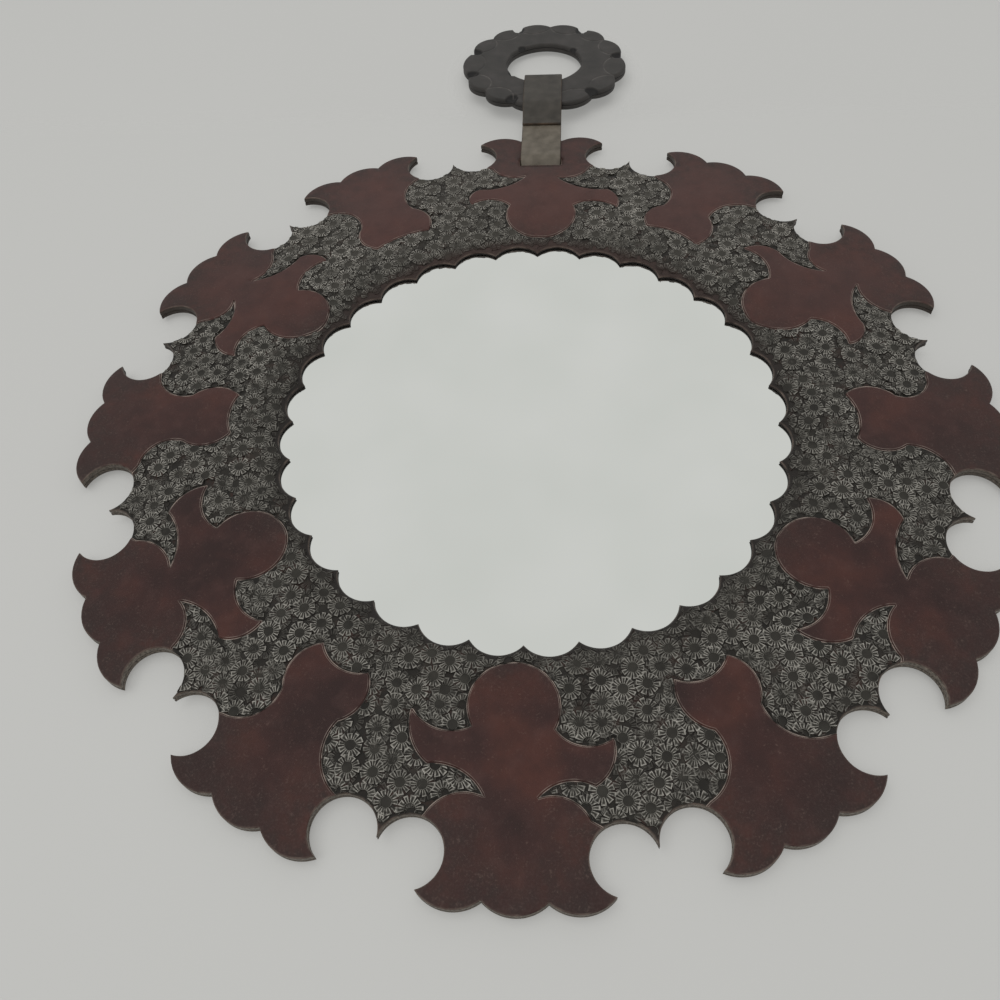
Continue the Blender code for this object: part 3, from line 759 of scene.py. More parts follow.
def stampTree(look):
    tree = bpy.data.node_groups.new("flowerStamps", "GeometryNodeTree")
    face = tree.interface
    face.new_socket("Geometry", in_out="INPUT", socket_type="NodeSocketGeometry")
    for name, kind in (("Stamp", "NodeSocketObject"), ("Spacing", "NodeSocketFloat"),
                       ("Density", "NodeSocketFloat"), ("Lowest", "NodeSocketFloat"),
                       ("Highest", "NodeSocketFloat"), ("Crest", "NodeSocketFloat"),
                       ("Smallest", "NodeSocketFloat"), ("Largest", "NodeSocketFloat"),
                       ("Seed", "NodeSocketInt")):
        face.new_socket(name, in_out="INPUT", socket_type=kind)
    face.new_socket("Geometry", in_out="OUTPUT", socket_type="NodeSocketGeometry")
    given = addNode(tree, "NodeGroupInput").outputs
    spread = addNode(tree, "GeometryNodeDistributePointsOnFaces",
                     {"Mesh": given["Geometry"], "Distance Min": given["Spacing"],
                      "Density Max": given["Density"], "Seed": given["Seed"]},
                     distribute_method="POISSON")
    lift = addNode(tree, "FunctionNodeRandomValue", {"Min": given["Lowest"], "Max": given["Highest"],
                                                     "Seed": given["Seed"]}, data_type="FLOAT")
    held = addNode(tree, "GeometryNodeStoreNamedAttribute",
                   {"Geometry": spread.outputs["Points"], "Name": "lift", "Value": lift.outputs["Value"]},
                   data_type="FLOAT", domain="POINT")
    turn = addNode(tree, "FunctionNodeRandomValue", {"Max": 2 * math.pi, "Seed": given["Seed"]}, data_type="FLOAT")
    spin = addNode(tree, "ShaderNodeCombineXYZ", {"Z": turn.outputs["Value"]})
    size = addNode(tree, "FunctionNodeRandomValue", {"Min": given["Smallest"], "Max": given["Largest"],
                                                     "Seed": given["Seed"]}, data_type="FLOAT")
    stamp = addNode(tree, "GeometryNodeObjectInfo", {"Object": given["Stamp"]})
    copies = addNode(tree, "GeometryNodeInstanceOnPoints",
                     {"Points": held.outputs[0], "Instance": stamp.outputs["Geometry"],
                      "Rotation": spin.outputs[0], "Scale": size.outputs["Value"]})
    real = addNode(tree, "GeometryNodeRealizeInstances", {"Geometry": copies.outputs[0]})
    # each point drops onto the leather, and those past an edge or a motif go
    place = addNode(tree, "GeometryNodeInputPosition")
    above = addNode(tree, "ShaderNodeVectorMath", {0: place.outputs[0], 1: (0.0, 0.0, 0.005)}, operation="ADD")
    ray = addNode(tree, "GeometryNodeRaycast", {"Target Geometry": given["Geometry"],
                                                "Source Position": above.outputs[0],
                                                "Ray Direction": (0.0, 0.0, -1.0), "Ray Length": 0.02})
    missed = addNode(tree, "FunctionNodeBooleanMath", {0: ray.outputs["Is Hit"]}, operation="NOT")
    crest = addNode(tree, "GeometryNodeInputNamedAttribute", {"Name": "crest"}, data_type="FLOAT")
    lifted = addNode(tree, "GeometryNodeInputNamedAttribute", {"Name": "lift"}, data_type="FLOAT")
    rise = addNode(tree, "ShaderNodeMath", {0: crest.outputs["Attribute"], 1: given["Crest"],
                                            2: lifted.outputs["Attribute"]}, operation="MULTIPLY_ADD")
    offset = addNode(tree, "ShaderNodeCombineXYZ", {"Z": rise.outputs[0]})
    landed = addNode(tree, "ShaderNodeVectorMath", {0: ray.outputs["Hit Position"], 1: offset.outputs[0]},
                     operation="ADD")
    cut = addNode(tree, "GeometryNodeDeleteGeometry", {"Geometry": real.outputs[0], "Selection": missed.outputs[0]},
                  domain="POINT")
    moved = addNode(tree, "GeometryNodeSetPosition", {"Geometry": cut.outputs[0], "Position": landed.outputs[0]})
    done = addNode(tree, "GeometryNodeSetMaterial", {"Geometry": moved.outputs[0], "Material": look})
    addNode(tree, "NodeGroupOutput", {"Geometry": done.outputs[0]})
    return tree


def makeStamps(places, heights, tris, look):
    shape = stampShape
    used = np.unique(tris)
    renumber = {int(old): new for new, old in enumerate(used)}
    mesh = bpy.data.meshes.new("stampedGround")
    mesh.from_pydata([(places[i].real, places[i].imag, heights[i]) for i in used], [],
                     [tuple(renumber[int(i)] for i in t) for t in tris])
    ground = bpy.data.objects.new("stampedGround", mesh)
    bpy.context.scene.collection.objects.link(ground)
    flower = bpy.data.objects.new("flower", flowerMesh())
    bpy.context.scene.collection.objects.link(flower)
    tree = stampTree(look)
    for name, spacing, lowest, highest, seed in shape["rounds"]:
        modifier = ground.modifiers.new("stamps", "NODES")
        modifier.node_group = tree
        values = {"Stamp": flower, "Spacing": spacing, "Density": shape["density"], "Lowest": lowest,
                  "Highest": highest, "Crest": shape["crest"], "Smallest": shape["smallest"],
                  "Largest": shape["largest"], "Seed": seed}
        for item in tree.interface.items_tree:
            if item.in_out == "INPUT" and item.name in values:
                modifier[item.identifier] = values[item.name]
        graph = bpy.context.evaluated_depsgraph_get()
        made = bpy.data.meshes.new_from_object(ground.evaluated_get(graph))
        ground.modifiers.remove(modifier)
        for vertex in made.vertices:
            vertex.co = onFrame(*vertex.co)
        piece = bpy.data.objects.new(name, made)
        bpy.context.scene.collection.objects.link(piece)
        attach(piece, "frame")
        made.calc_loop_triangles()
        print("stage: flower stamps,", name, len(made.loop_triangles), "triangles")
    bpy.data.objects.remove(ground, do_unlink=True)
    bpy.data.objects.remove(flower, do_unlink=True)


# Carved hanging ring: two layers, cut into uneven lobes by hand
ringShape = {
    "radius": 54.5 * mm,
    "holeR": 25.0 * mm,
    "holeWander": 0.45 * mm,
    "layer": 2.5 * mm,
    "glue": 0.3 * mm,
    "notch": 4.0 * mm,
    "notchDegrees": (8, 36, 60, 86, 112, 136, 161, 196, 222, 247, 278, 309, 337),
    "gougeDegrees": (8, 60, 112, 161, 196, 247, 309),
    "gougeAcross": 3.8 * mm,
    "gougeAlong": 5.8 * mm,
    "gougeDepth": 2.25 * mm,
    "nickDegrees": (128, 40, 215),
    "nickR": 2.8 * mm,
    "nickDepth": 1.7 * mm,
    "arcSag": 8.5 * mm,
    "arcDepth": 0.30 * mm,
    "arcWidth": 0.35 * mm,
    "edgeRound": 1.2 * mm,
    "gridStep": 0.65 * mm,
    "lobeSteps": 22,
    "seed": 3,
}


def ringOutline():
    shape = ringShape
    spots = [(shape["radius"] - shape["notch"]) * np.exp(1j * math.radians(d)) for d in shape["notchDegrees"]]
    points = []
    for start, end in zip(spots, spots[1:] + spots[:1]):
        rise = shape["radius"] - abs((start + end) / 2)
        points += arcPoints(start, end, -rise, shape["lobeSteps"])
    return np.array(points)


def ringArcs():
    shape = ringShape
    spots = [(shape["radius"] - shape["notch"]) * np.exp(1j * math.radians(d)) for d in shape["notchDegrees"]]
    runs = [arcPoints(start, end, shape["arcSag"], 80) for start, end in zip(spots, spots[1:] + spots[:1])]
    return np.concatenate(runs)


def hollowShare(places, middle, degrees, along, across):
    # how deep a scooped hollow is at each place, from 0 to 1
    turned = places * np.exp(-1j * math.radians(degrees)) - middle
    return np.sqrt(np.clip(1 - (turned.real / along) ** 2 - (turned.imag / across) ** 2, 0.0, 1.0))


def ringHole():
    # cut by hand, so not quite round
    shape = ringShape
    draw = random.Random(shape["seed"])
    angles = np.linspace(0.0, 2 * math.pi, 160, endpoint=False)
    wander = sum(draw.uniform(-1, 1) * np.sin(k * angles + draw.uniform(0, 6.3)) / k for k in range(2, 9))
    return (shape["holeR"] + shape["holeWander"] * wander) * np.exp(1j * angles)


def makeRing(look):
    shape = ringShape
    loops = [ringOutline()[::-1], ringHole()[::-1]]
    arcs = ringArcs()
    reach = shape["radius"] - shape["notch"]
    rounding = [s * shape["edgeRound"] for s in (0.2, 0.5, 1.0)]
    for name, node, low, step in (
            ("ringFront", "ring_front_layer", shape["glue"] / 2, shape["gridStep"]),
            ("ringBack", "ring_back_layer", -shape["glue"] / 2 - shape["layer"], 4 * shape["gridStep"])):
        top = low + shape["layer"]
        carved = low > 0
        kept = {}

        def front(places, edge):
            gouge = np.zeros(len(places))
            for degrees in shape["gougeDegrees"]:
                gouge = np.maximum(gouge, hollowShare(places, reach, degrees, shape["gougeAlong"], shape["gougeAcross"]))
            nick = np.zeros(len(places))
            for degrees in shape["nickDegrees"]:
                nick = np.maximum(nick, hollowShare(places, shape["holeR"], degrees, shape["nickR"], shape["nickR"]))
            arc = nearestPoints(places, arcs)
            kept["gouge"], kept["arc"] = np.maximum(gouge, nick), arc
            groove = shape["arcDepth"] * np.exp(-(arc / shape["arcWidth"]) ** 2)
            carving = shape["gougeDepth"] * gouge + shape["nickDepth"] * nick + groove
            carving += roundOver(edge, shape["edgeRound"], shape["edgeRound"])
            return top - (np.minimum(carving, 0.94 * shape["layer"]) if carved else 0 * carving)

        def back(places):
            return np.full(len(places), low)

        runs = []
        if carved:
            runs = offsetLines(loops[0], 0.9 * mm, rounding)
            runs += offsetLines(loops[1], 0.9 * mm, [-s for s in rounding])
        piece, places, edge, tris = leatherSheet(name, loops, runs, step, front, back, look, onRing, 0.2 * mm)
        setAttribute(piece, "gouge", padded(kept["gouge"] if carved else 0 * kept["gouge"], piece, 0.0))
        setAttribute(piece, "arcMm", padded(kept["arc"] / mm, piece, 9.0))
        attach(piece, "ring")
        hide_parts(node)
    print("stage: ring carved")


def makeLiner(look):
    shape = frameShape
    half = shape["slotWidth"] / 2
    top = frameR - shape["slotSetback"]
    low = tailBox[0][2] - frameY - 2 * shape["glue"]
    corners = [complex(-half, low), complex(-half, top), complex(half, top), complex(half, low)]
    channel = resample(np.array(corners), 2.1 * mm)
    window = polar(shape["openingR"] + shape["bendRun"], np.linspace(0.0, 2 * math.pi, 240, endpoint=False))
    loops = [frameOutline(), window, channel]

    def front(places, edge):
        return dish(places) + shape["linerThickness"]

    piece, places, edge, tris = leatherSheet("linerLeather", loops, [], 5 * mm, front, dish, look, onFrame, 0.12 * mm)
    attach(piece, "frame")
    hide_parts("liner_panel")
    print("stage: liner,", len(piece.data.polygons), "faces")


# Strap: one strip, glued behind the top petal, out through the slot, behind the ring and back over it
strapShape = {
    "width": 24.5 * mm,
    "thickness": 2.0 * mm,
    "corner": 0.7 * mm,
    "cornerSteps": 3,
    "lapStart": 7.0 * mm,
    "lapEnd": 13.5 * mm,
    "foldRise": 3.0 * mm,
    "smoothing": 3,
    "bendAbove": 3.0 * mm,
    "bendBelow": 5.0 * mm,
}


def strapPath():
    shape, leather = strapShape, frameShape
    half, glue = shape["thickness"] / 2, leather["glue"]
    sheets = leather["linerThickness"] + glue

    def behind(y):
        return float(dish(np.array([y - frameY]))[0]) + sheets - glue - half

    def over(y):
        return behind(y) + half + glue + leather["frontThickness"] + leather["relief"] + glue + half

    tailEnd = tailBox[0][2]
    crown = frameY + frameR
    bend = crown - leather["slotSetback"] - 0.3 * mm
    crossing = 2 * glue + leather["relief"] + leather["frontThickness"] + shape["thickness"]
    ring = ringShape
    cos, sin = math.cos(ringTilt), math.sin(ringTilt)

    def onRingSide(up, out):
        return ringPlace[2] + up * cos + out * sin, -ringPlace[1] - up * sin + out * cos

    side = ring["layer"] + 1.5 * glue + half
    bandTop = glue - math.sqrt(ring["holeR"] ** 2 - (shape["width"] / 2) ** 2)
    ringEnd = onRingSide(-ring["radius"], -side)
    lapStart = ringPlace[2] - ring["radius"] * cos - shape["lapStart"]
    lapEnd = lapStart + shape["lapStart"] - shape["lapEnd"]

    def rising(y):
        share = (ringEnd[0] - y) / (ringEnd[0] - crown)
        return ringEnd[1] + share * (over(crown) - ringEnd[1])

    path = [(tailEnd, behind(tailEnd))]
    path += [(y, behind(y)) for y in (bend - crossing - 4 * mm, bend - crossing)]
    path += [(y, over(y)) for y in (bend, bend + 4 * mm, crown - 5 * mm, crown)]
    path += [(y, rising(y)) for y in (flexPlace[2], lapStart)]
    path += [ringEnd] + [onRingSide(up, -side) for up in (8 * mm - ring["radius"], bandTop - 6 * mm, bandTop)]
    rise = shape["foldRise"]
    path += [onRingSide(bandTop + rise * high, side * out)
             for high, out in ((0.9, -0.75), (1.25, 0.0), (0.9, 0.75))]
    path += [onRingSide(up, side) for up in (bandTop, bandTop - 6 * mm, 6 * mm - ring["radius"])]
    path += [onRingSide(-ring["radius"] - 1 * mm, side - 0.6 * mm)]
    lapRise = 1.02 * shape["thickness"]
    path += [(y, rising(y) + lapRise) for y in (lapStart, (lapStart + lapEnd) / 2, lapEnd)]
    points = [complex(y, z) for y, z in path]
    for _ in range(shape["smoothing"]):
        cut = [points[0]]
        for a, b in zip(points, points[1:]):
            cut += [0.75 * a + 0.25 * b, 0.25 * a + 0.75 * b]
        points = cut + [points[-1]]
    return np.array(points)


def makeStrap(look):
    shape = strapShape
    path = strapPath()
    along = np.gradient(path)
    normal = 1j * along / np.abs(along)
    half, thick, corner = shape["width"] / 2, shape["thickness"] / 2, shape["corner"]
    ring = []
    for cx, cn, first in ((1, 1, 0), (-1, 1, 90), (-1, -1, 180), (1, -1, 270)):
        for i in range(shape["cornerSteps"] + 1):
            turn = math.radians(first + 90 * i / shape["cornerSteps"])
            ring.append((cx * (half - corner) + corner * math.cos(turn), cn * (thick - corner) + corner * math.sin(turn)))
    vertices, faces, side, cutEdge = [], [], [], []
    for place, out in zip(path, normal):
        for x, n in ring:
            moved = place + out * n
            vertices.append((x, moved.real, moved.imag))
            side.append(n / thick)
            cutEdge.append((abs(x) - half + corner) / corner)
    count = len(ring)
    for i in range(len(path) - 1):
        for j in range(count):
            k = (j + 1) % count
            faces.append((i * count + j, i * count + k, (i + 1) * count + k, (i + 1) * count + j))
    faces.append(tuple(range(count)))
    faces.append(tuple(range((len(path) - 1) * count, len(path) * count)))
    piece = makePiece("hangingStrap", vertices, faces, look, onWall)
    fixNormals(piece)
    setAttribute(piece, "fleshSide", side)
    setAttribute(piece, "cutEdge", np.clip(cutEdge, 0.0, 1.0))
    x, y, z = flexPlace
    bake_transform(piece)
    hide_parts("strap_loop", "strap_tail")
    print("stage: strap,", len(faces), "faces")


# Materials
def mixColour(tree, factor, first, second):
    node = addNode(tree, "ShaderNodeMix", data_type="RGBA")
    for socket, value in ((node.inputs[0], factor), (node.inputs[6], first), (node.inputs[7], second)):
        if isinstance(value, bpy.types.NodeSocket):
            tree.links.new(value, socket)
        else:
            socket.default_value = value
    return node.outputs[2]


def grain(tree, shader, where, size, depth, strength):
    # fine pebbled grain of the hair side
    cells = addNode(tree, "ShaderNodeTexVoronoi", {"Vector": where, "Scale": 1 / size}, feature="SMOOTH_F1")
    fine = addNode(tree, "ShaderNodeTexNoise", {"Vector": where, "Scale": 2.5 / size, "Detail": 3.0})
    both = addNode(tree, "ShaderNodeMath", {0: cells.outputs["Distance"], 1: fine.outputs["Fac"]}, operation="ADD")
    bump = addNode(tree, "ShaderNodeBump", {"Height": both.outputs[0], "Strength": strength, "Distance": depth})
    tree.links.new(bump.outputs[0], shader.inputs["Normal"])


def ranged(tree, value, low, high):
    return addNode(tree, "ShaderNodeMapRange", {"Value": value, "From Min": low, "From Max": high}).outputs[0]


def multiplied(tree, first, second):
    return addNode(tree, "ShaderNodeMath", {0: first, 1: second}, operation="MULTIPLY").outputs[0]


def fromMiddle(tree, where, low, high):
    # 0 to 1 between two radii about the middle of the frame
    middle = (0.0, panelBox[0][1], frameY)
    radius = addNode(tree, "ShaderNodeVectorMath", {0: where, 1: middle}, operation="DISTANCE").outputs["Value"]
    return ranged(tree, radius, low, high)


def upFrame(tree, where, low, high):
    # 0 to 1 between two heights about the middle of the frame
    height = addNode(tree, "ShaderNodeSeparateXYZ", {0: where}).outputs["Z"]
    return ranged(tree, height, frameY + low, frameY + high)


def tooledLeather():
    # vegetable-tanned leather, dyed oxblood and waxed: smooth and dark, greyer where hands have worn the petals
    made, tree, shader = startMaterial("tooledLeather", 0.5, **{"Specular IOR Level": 0.3})
    where = addNode(tree, "ShaderNodeTexCoord").outputs["Object"]
    depth = addNode(tree, "ShaderNodeAttribute", attribute_name="motifMm").outputs["Fac"]
    edge = addNode(tree, "ShaderNodeAttribute", attribute_name="edgeMm").outputs["Fac"]
    wall = addNode(tree, "ShaderNodeAttribute", attribute_name="wall").outputs["Fac"]
    cloud = addNode(tree, "ShaderNodeTexNoise", {"Vector": where, "Scale": 1 / (28 * mm), "Detail": 4.0}).outputs["Fac"]
    worn = addNode(tree, "ShaderNodeTexNoise", {"Vector": where, "Scale": 1 / (5 * mm), "Detail": 3.0}).outputs["Fac"]
    speck = addNode(tree, "ShaderNodeTexNoise", {"Vector": where, "Scale": 1 / (0.9 * mm), "Detail": 2.0}).outputs["Fac"]
    red = setRamp(addNode(tree, "ShaderNodeValToRGB", {"Fac": cloud}),
                  [(0.36, linear("#291917")), (0.50, linear("#341f1c")), (0.66, linear("#41251f"))])
    # painted sheen: the red is lighter towards the top, standing in for glancing light on the far side
    sheenTowardsTop = upFrame(tree, where, -40 * mm, 190 * mm)
    red = mixColour(tree, multiplied(tree, sheenTowardsTop, 0.75), red, linear("#4b312c"))
    blotch = addNode(tree, "ShaderNodeTexNoise", {"Vector": where, "Scale": 1 / (11 * mm), "Detail": 5.0,
                                                  "Roughness": 0.65}).outputs["Fac"]
    red = mixColour(tree, multiplied(tree, ranged(tree, blotch, 0.50, 0.36), 0.24), red, linear("#251816"))
    red = mixColour(tree, multiplied(tree, ranged(tree, blotch, 0.52, 0.68), 0.18), red, linear("#533a35"))
    aged = addNode(tree, "ShaderNodeMath", {0: ranged(tree, edge, 22.0, 2.0), 1: ranged(tree, worn, 0.2, 0.7)},
                   operation="MULTIPLY").outputs[0]
    red = mixColour(tree, aged, red, linear("#2c211e"))
    dust = multiplied(tree, ranged(tree, speck, 0.58, 0.74), ranged(tree, worn, 0.42, 0.66))
    red = mixColour(tree, multiplied(tree, dust, 0.25), red, linear("#6e5a50"))
    # the outer lobes are scuffed in fine grey specks
    scuff = multiplied(tree, ranged(tree, edge, 30.0, 4.0), ranged(tree, speck, 0.46, 0.66))
    red = mixColour(tree, multiplied(tree, scuff, 0.08), red, linear("#5f504b"))
    ground = setRamp(addNode(tree, "ShaderNodeValToRGB", {"Fac": worn}),
                     [(0.40, linear("#171511")), (0.58, linear("#1d1915")), (0.72, linear("#2c1d17"))])
    lip = addNode(tree, "ShaderNodeAttribute", attribute_name="lipMm").outputs["Fac"]
    # painted sheen: the rolled lip is dark at the bottom and lighter towards the top
    lipToneWithSheen = mixColour(tree, upFrame(tree, where, 20 * mm, 120 * mm), linear("#1e1a17"), linear("#342824"))
    ground = mixColour(tree, ranged(tree, lip, 7.0, 2.5), ground, lipToneWithSheen)
    colour = mixColour(tree, ranged(tree, depth, -0.1, 0.1), ground, red)
    # each motif is outlined by two fine knife cuts, rubbed pale
    across = ranged(tree, depth, -1.0, 2.0)
    cuts = setRamp(addNode(tree, "ShaderNodeValToRGB", {"Fac": across}),
                   [(0.20, grey(0)), (0.25, grey(1)), (0.30, grey(1)), (0.35, grey(0)),
                    (0.45, grey(0)), (0.49, grey(0.55)), (0.53, grey(0.55)), (0.57, grey(0))])
    cuts = multiplied(tree, cuts, ranged(tree, worn, 0.34, 0.62))
    colour = mixColour(tree, multiplied(tree, cuts, 0.9), colour, linear("#9a8c82"))
    # cut edges: dyed dark, with the dye rubbed thin along the top corner
    rubbed = setRamp(addNode(tree, "ShaderNodeValToRGB", {"Fac": edge}), [(0.05, grey(0.9)), (0.6, grey(0))])
    colour = mixColour(tree, multiplied(tree, rubbed, ranged(tree, worn, 0.3, 0.7)), colour, linear("#6a5d54"))
    side = setRamp(addNode(tree, "ShaderNodeValToRGB", {"Fac": speck}),
                   [(0.35, linear("#463f38")), (0.65, linear("#766d62"))])
    # painted shade: the cut edges are darker towards the top, where they face down
    side = mixColour(tree, multiplied(tree, upFrame(tree, where, -60 * mm, 25 * mm), 0.8), side, linear("#2a221d"))
    # painted shade: at the opening, under the rolled lip, the cut edge is near black
    side = mixColour(tree, fromMiddle(tree, where, 130 * mm, 128 * mm), side, linear("#1c1512"))
    colour = mixColour(tree, ranged(tree, wall, 0.02, 0.35), colour, side)
    tree.links.new(colour, shader.inputs["Base Color"])
    shine = setRamp(addNode(tree, "ShaderNodeValToRGB", {"Fac": cloud}), [(0.3, grey(0.44)), (0.75, grey(0.58))])
    tree.links.new(shine, shader.inputs["Roughness"])
    grain(tree, shader, where, 0.8 * mm, 0.06 * mm, 0.35)
    return made


def stampedLeather():
    # dark antiqued leather whose raised stamp lines have been rubbed back to a pale grey
    made, tree, shader = startMaterial("stampedLeather", 0.6, **{"Specular IOR Level": 0.3})
    where = addNode(tree, "ShaderNodeTexCoord").outputs["Object"]
    crest = addNode(tree, "ShaderNodeAttribute", attribute_name="crest").outputs["Fac"]
    wear = addNode(tree, "ShaderNodeTexNoise", {"Vector": where, "Scale": 1 / (9 * mm), "Detail": 3.0}).outputs["Fac"]
    rub = addNode(tree, "ShaderNodeTexNoise", {"Vector": where, "Scale": 1 / (1.5 * mm), "Detail": 2.0}).outputs["Fac"]
    lift = addNode(tree, "ShaderNodeAttribute", attribute_name="lift").outputs["Fac"]
    low = setRamp(addNode(tree, "ShaderNodeValToRGB", {"Fac": wear}),
                  [(0.42, linear("#171411")), (0.55, linear("#1c1714")), (0.68, linear("#2d1e19"))])
    # painted sheen: the stamps are lighter towards the top, standing in for glancing light on the far side
    up = upFrame(tree, where, 40 * mm, 190 * mm)
    middle = mixColour(tree, ranged(tree, wear, 0.35, 0.65), linear("#201e1a"), linear("#2d2b26"))
    middle = mixColour(tree, multiplied(tree, up, 0.55), middle, linear("#45423b"))
    colour = mixColour(tree, ranged(tree, crest, 0.0, 0.12), low, middle)
    fill = mixColour(tree, ranged(tree, rub, 0.3, 0.7), linear("#1f1d19"), linear("#33312b"))
    colour = mixColour(tree, ranged(tree, crest, 0.2, 0.45), colour, fill)
    # the stamps that stand highest are rubbed palest
    line = multiplied(tree, ranged(tree, crest, 0.62, 0.90), ranged(tree, rub, 0.28, 0.58))
    line = multiplied(tree, line, ranged(tree, lift, -0.25 * mm, 0.50 * mm))
    line = multiplied(tree, line, fromMiddle(tree, where, 100 * mm, 150 * mm))
    # painted sheen: the pale lines are lighter still towards the top
    colour = mixColour(tree, line, colour, mixColour(tree, up, linear("#95928a"), linear("#a5a198")))
    # stamps of the first round show only as dark remnants between the later ones
    buried = ranged(tree, lift, 0.12 * mm, 0.05 * mm)
    colour = mixColour(tree, multiplied(tree, buried, 0.55), colour, low)
    # round the opening the stamps blend into the lip's tone, more so at the top, where it is lighter and redder:
    # painted sheen
    lipSheenHeight = upFrame(tree, where, 20 * mm, 120 * mm)
    openingBlend = multiplied(tree, fromMiddle(tree, where, 131 * mm, 125 * mm), ranged(tree, lipSheenHeight, -0.5, 0.8))
    colour = mixColour(tree, openingBlend, colour, mixColour(tree, lipSheenHeight, linear("#1f1b18"), linear("#302521")))
    # painted sheen: the stamps' darks are lifted towards the top
    colour = mixColour(tree, multiplied(tree, up, 0.15), colour, linear("#3a3732"))
    tree.links.new(colour, shader.inputs["Base Color"])
    return made


def darkEdge():
    # liner leather: flesh side out at the back, edges dyed dark
    made, tree, shader = startMaterial("linerLeather", 0.8)
    where = addNode(tree, "ShaderNodeTexCoord").outputs["Object"]
    wall = addNode(tree, "ShaderNodeAttribute", attribute_name="wall").outputs["Fac"]
    cloud = addNode(tree, "ShaderNodeTexNoise", {"Vector": where, "Scale": 1 / (14 * mm), "Detail": 6.0}).outputs["Fac"]
    flesh = setRamp(addNode(tree, "ShaderNodeValToRGB", {"Fac": cloud}),
                    [(0.3, linear("#3a2d24")), (0.7, linear("#54443a"))])
    fibre = addNode(tree, "ShaderNodeTexNoise", {"Vector": where, "Scale": 1 / (0.9 * mm), "Detail": 2.0}).outputs["Fac"]
    edgeTone = setRamp(addNode(tree, "ShaderNodeValToRGB", {"Fac": fibre}),
                   [(0.35, linear("#403a34")), (0.65, linear("#6a6258"))])
    # painted shade: the dyed edges are darker towards the top, where they face down
    edgeTone = mixColour(tree, multiplied(tree, upFrame(tree, where, -60 * mm, 25 * mm), 0.8), edgeTone, linear("#231c18"))
    colour = mixColour(tree, ranged(tree, wall, 1.1, 1.9), edgeTone, flesh)
    tree.links.new(colour, shader.inputs["Base Color"])
    grain(tree, shader, where, 0.5 * mm, 0.1 * mm, 0.5)
    return made


def carvedLeather():
    # thick saddle leather, dyed charcoal brown and burnished by hand
    made, tree, shader = startMaterial("carvedLeather", 0.55)
    where = addNode(tree, "ShaderNodeTexCoord").outputs["Object"]
    gouge = addNode(tree, "ShaderNodeAttribute", attribute_name="gouge").outputs["Fac"]
    arc = addNode(tree, "ShaderNodeAttribute", attribute_name="arcMm").outputs["Fac"]
    cloud = addNode(tree, "ShaderNodeTexNoise", {"Vector": where, "Scale": 1 / (9 * mm), "Detail": 5.0}).outputs["Fac"]
    colour = setRamp(addNode(tree, "ShaderNodeValToRGB", {"Fac": cloud}),
                     [(0.3, linear("#211f1c")), (0.55, linear("#2c2926")), (0.75, linear("#363230"))])
    # painted shade: the gouges and nicks are darkened nearly to black
    colour = mixColour(tree, ranged(tree, gouge, 0.02, 0.35), colour, linear("#0d0b0a"))
    line = setRamp(addNode(tree, "ShaderNodeValToRGB", {"Fac": arc}), [(0.15, grey(0.55)), (0.55, grey(0))])
    colour = mixColour(tree, multiplied(tree, line, ranged(tree, cloud, 0.45, 0.58)), colour, linear("#66615d"))
    tree.links.new(colour, shader.inputs["Base Color"])
    grain(tree, shader, where, 0.9 * mm, 0.08 * mm, 0.4)
    return made


def strapLeather():
    # one strip with two faces: waxed dark grain side, raw tan-grey flesh side
    made, tree, shader = startMaterial("strapLeather", 0.6)
    where = addNode(tree, "ShaderNodeTexCoord").outputs["Object"]
    side = addNode(tree, "ShaderNodeAttribute", attribute_name="fleshSide").outputs["Fac"]
    cloud = addNode(tree, "ShaderNodeTexNoise", {"Vector": where, "Scale": 1 / (6 * mm), "Detail": 6.0}).outputs["Fac"]
    skin = setRamp(addNode(tree, "ShaderNodeValToRGB", {"Fac": cloud}),
                   [(0.3, linear("#2d2a25")), (0.7, linear("#3f3b35"))])
    flesh = setRamp(addNode(tree, "ShaderNodeValToRGB", {"Fac": cloud}),
                    [(0.3, linear("#4c463c")), (0.7, linear("#676055"))])
    colour = mixColour(tree, ranged(tree, side, 0.2, 0.9), skin, flesh)
    cutEdge = addNode(tree, "ShaderNodeAttribute", attribute_name="cutEdge").outputs["Fac"]
    raw = setRamp(addNode(tree, "ShaderNodeValToRGB", {"Fac": cloud}),
                  [(0.35, linear("#2c231b")), (0.65, linear("#4d3e30"))])
    colour = mixColour(tree, ranged(tree, cutEdge, 0.2, 0.8), colour, raw)
    tree.links.new(colour, shader.inputs["Base Color"])
    grain(tree, shader, where, 0.7 * mm, 0.1 * mm, 0.4)
    return made


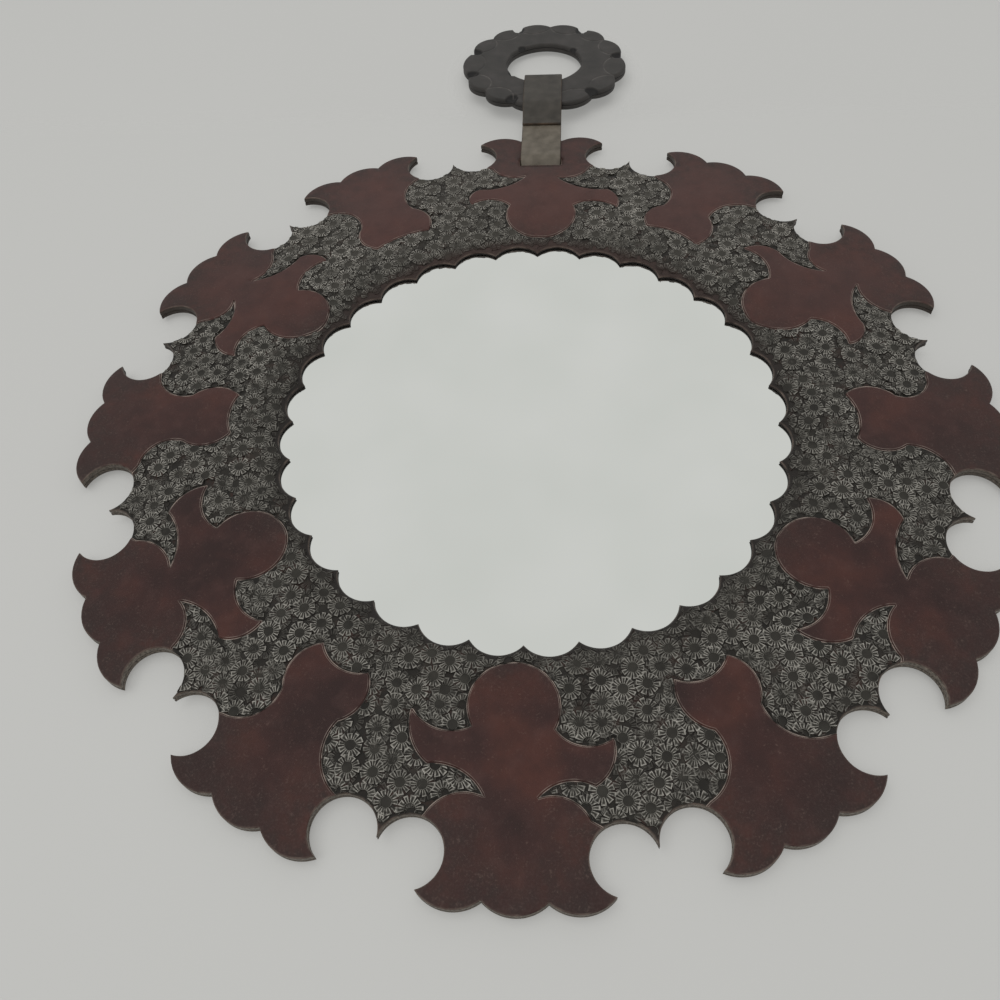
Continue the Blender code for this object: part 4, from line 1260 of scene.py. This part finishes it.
def suedeCover():
    # split suede: matt, short nap with soft light and dark strokes
    made, tree, shader = startMaterial("suedeCover", 0.95)
    where = addNode(tree, "ShaderNodeTexCoord").outputs["Object"]
    cloud = addNode(tree, "ShaderNodeTexNoise", {"Vector": where, "Scale": 1 / (55 * mm), "Detail": 3.0}).outputs["Fac"]
    # nap brushed in short strokes, 3 mm wide and 6 mm long
    brushed = addNode(tree, "ShaderNodeMapping", {"Vector": where, "Rotation": (0.0, 0.5, 0.0),
                                                  "Scale": (1.0, 1.0, 0.5)}).outputs[0]
    strokes = addNode(tree, "ShaderNodeTexNoise", {"Vector": brushed, "Scale": 1 / (3 * mm), "Detail": 4.0}).outputs["Fac"]
    colour = setRamp(addNode(tree, "ShaderNodeValToRGB", {"Fac": cloud}),
                     [(0.3, linear("#664e3d")), (0.7, linear("#765d4a"))])
    colour = mixColour(tree, multiplied(tree, ranged(tree, strokes, 0.60, 0.34), 0.6), colour, linear("#5e4939"))
    tree.links.new(colour, shader.inputs["Base Color"])
    grain(tree, shader, where, 0.4 * mm, 0.12 * mm, 0.5)
    return made


def silveredGlass():
    # float glass silvered on its back, with a faint green cast
    made, tree, shader = startMaterial("silveredGlass", 0.015)
    shader.inputs["Metallic"].default_value = 1.0
    where = addNode(tree, "ShaderNodeTexCoord").outputs["Object"]
    haze = addNode(tree, "ShaderNodeTexNoise", {"Vector": where, "Scale": 1 / (60 * mm), "Detail": 2.0}).outputs["Fac"]
    colour = setRamp(addNode(tree, "ShaderNodeValToRGB", {"Fac": haze}),
                     [(0.3, linear("#f4f7f2")), (0.7, linear("#fafcf8"))])
    tree.links.new(colour, shader.inputs["Base Color"])
    return made


def hardboard():
    # pressed brown fibre board
    made, tree, shader = startMaterial("hardboard", 0.85)
    where = addNode(tree, "ShaderNodeTexCoord").outputs["Object"]
    fibre = addNode(tree, "ShaderNodeTexNoise", {"Vector": where, "Scale": 1 / (2 * mm), "Detail": 6.0}).outputs["Fac"]
    colour = setRamp(addNode(tree, "ShaderNodeValToRGB", {"Fac": fibre}),
                     [(0.3, linear("#6a5038")), (0.7, linear("#846648"))])
    tree.links.new(colour, shader.inputs["Base Color"])
    return made


def dressNode(node, look):
    slots = frame["nodes"][node].data.materials
    slots.clear()
    slots.append(look)


makeCamera()
makeStage()
ground = makeFrontPanel(tooledLeather())
makeStamps(*ground, stampedLeather())
makeLiner(darkEdge())
makeRing(carvedLeather())
makeStrap(strapLeather())
dressNode("mirror_glass", silveredGlass())
dressNode("backing_board", hardboard())
dressNode("back_cover", suedeCover())
print("stage: materials set")
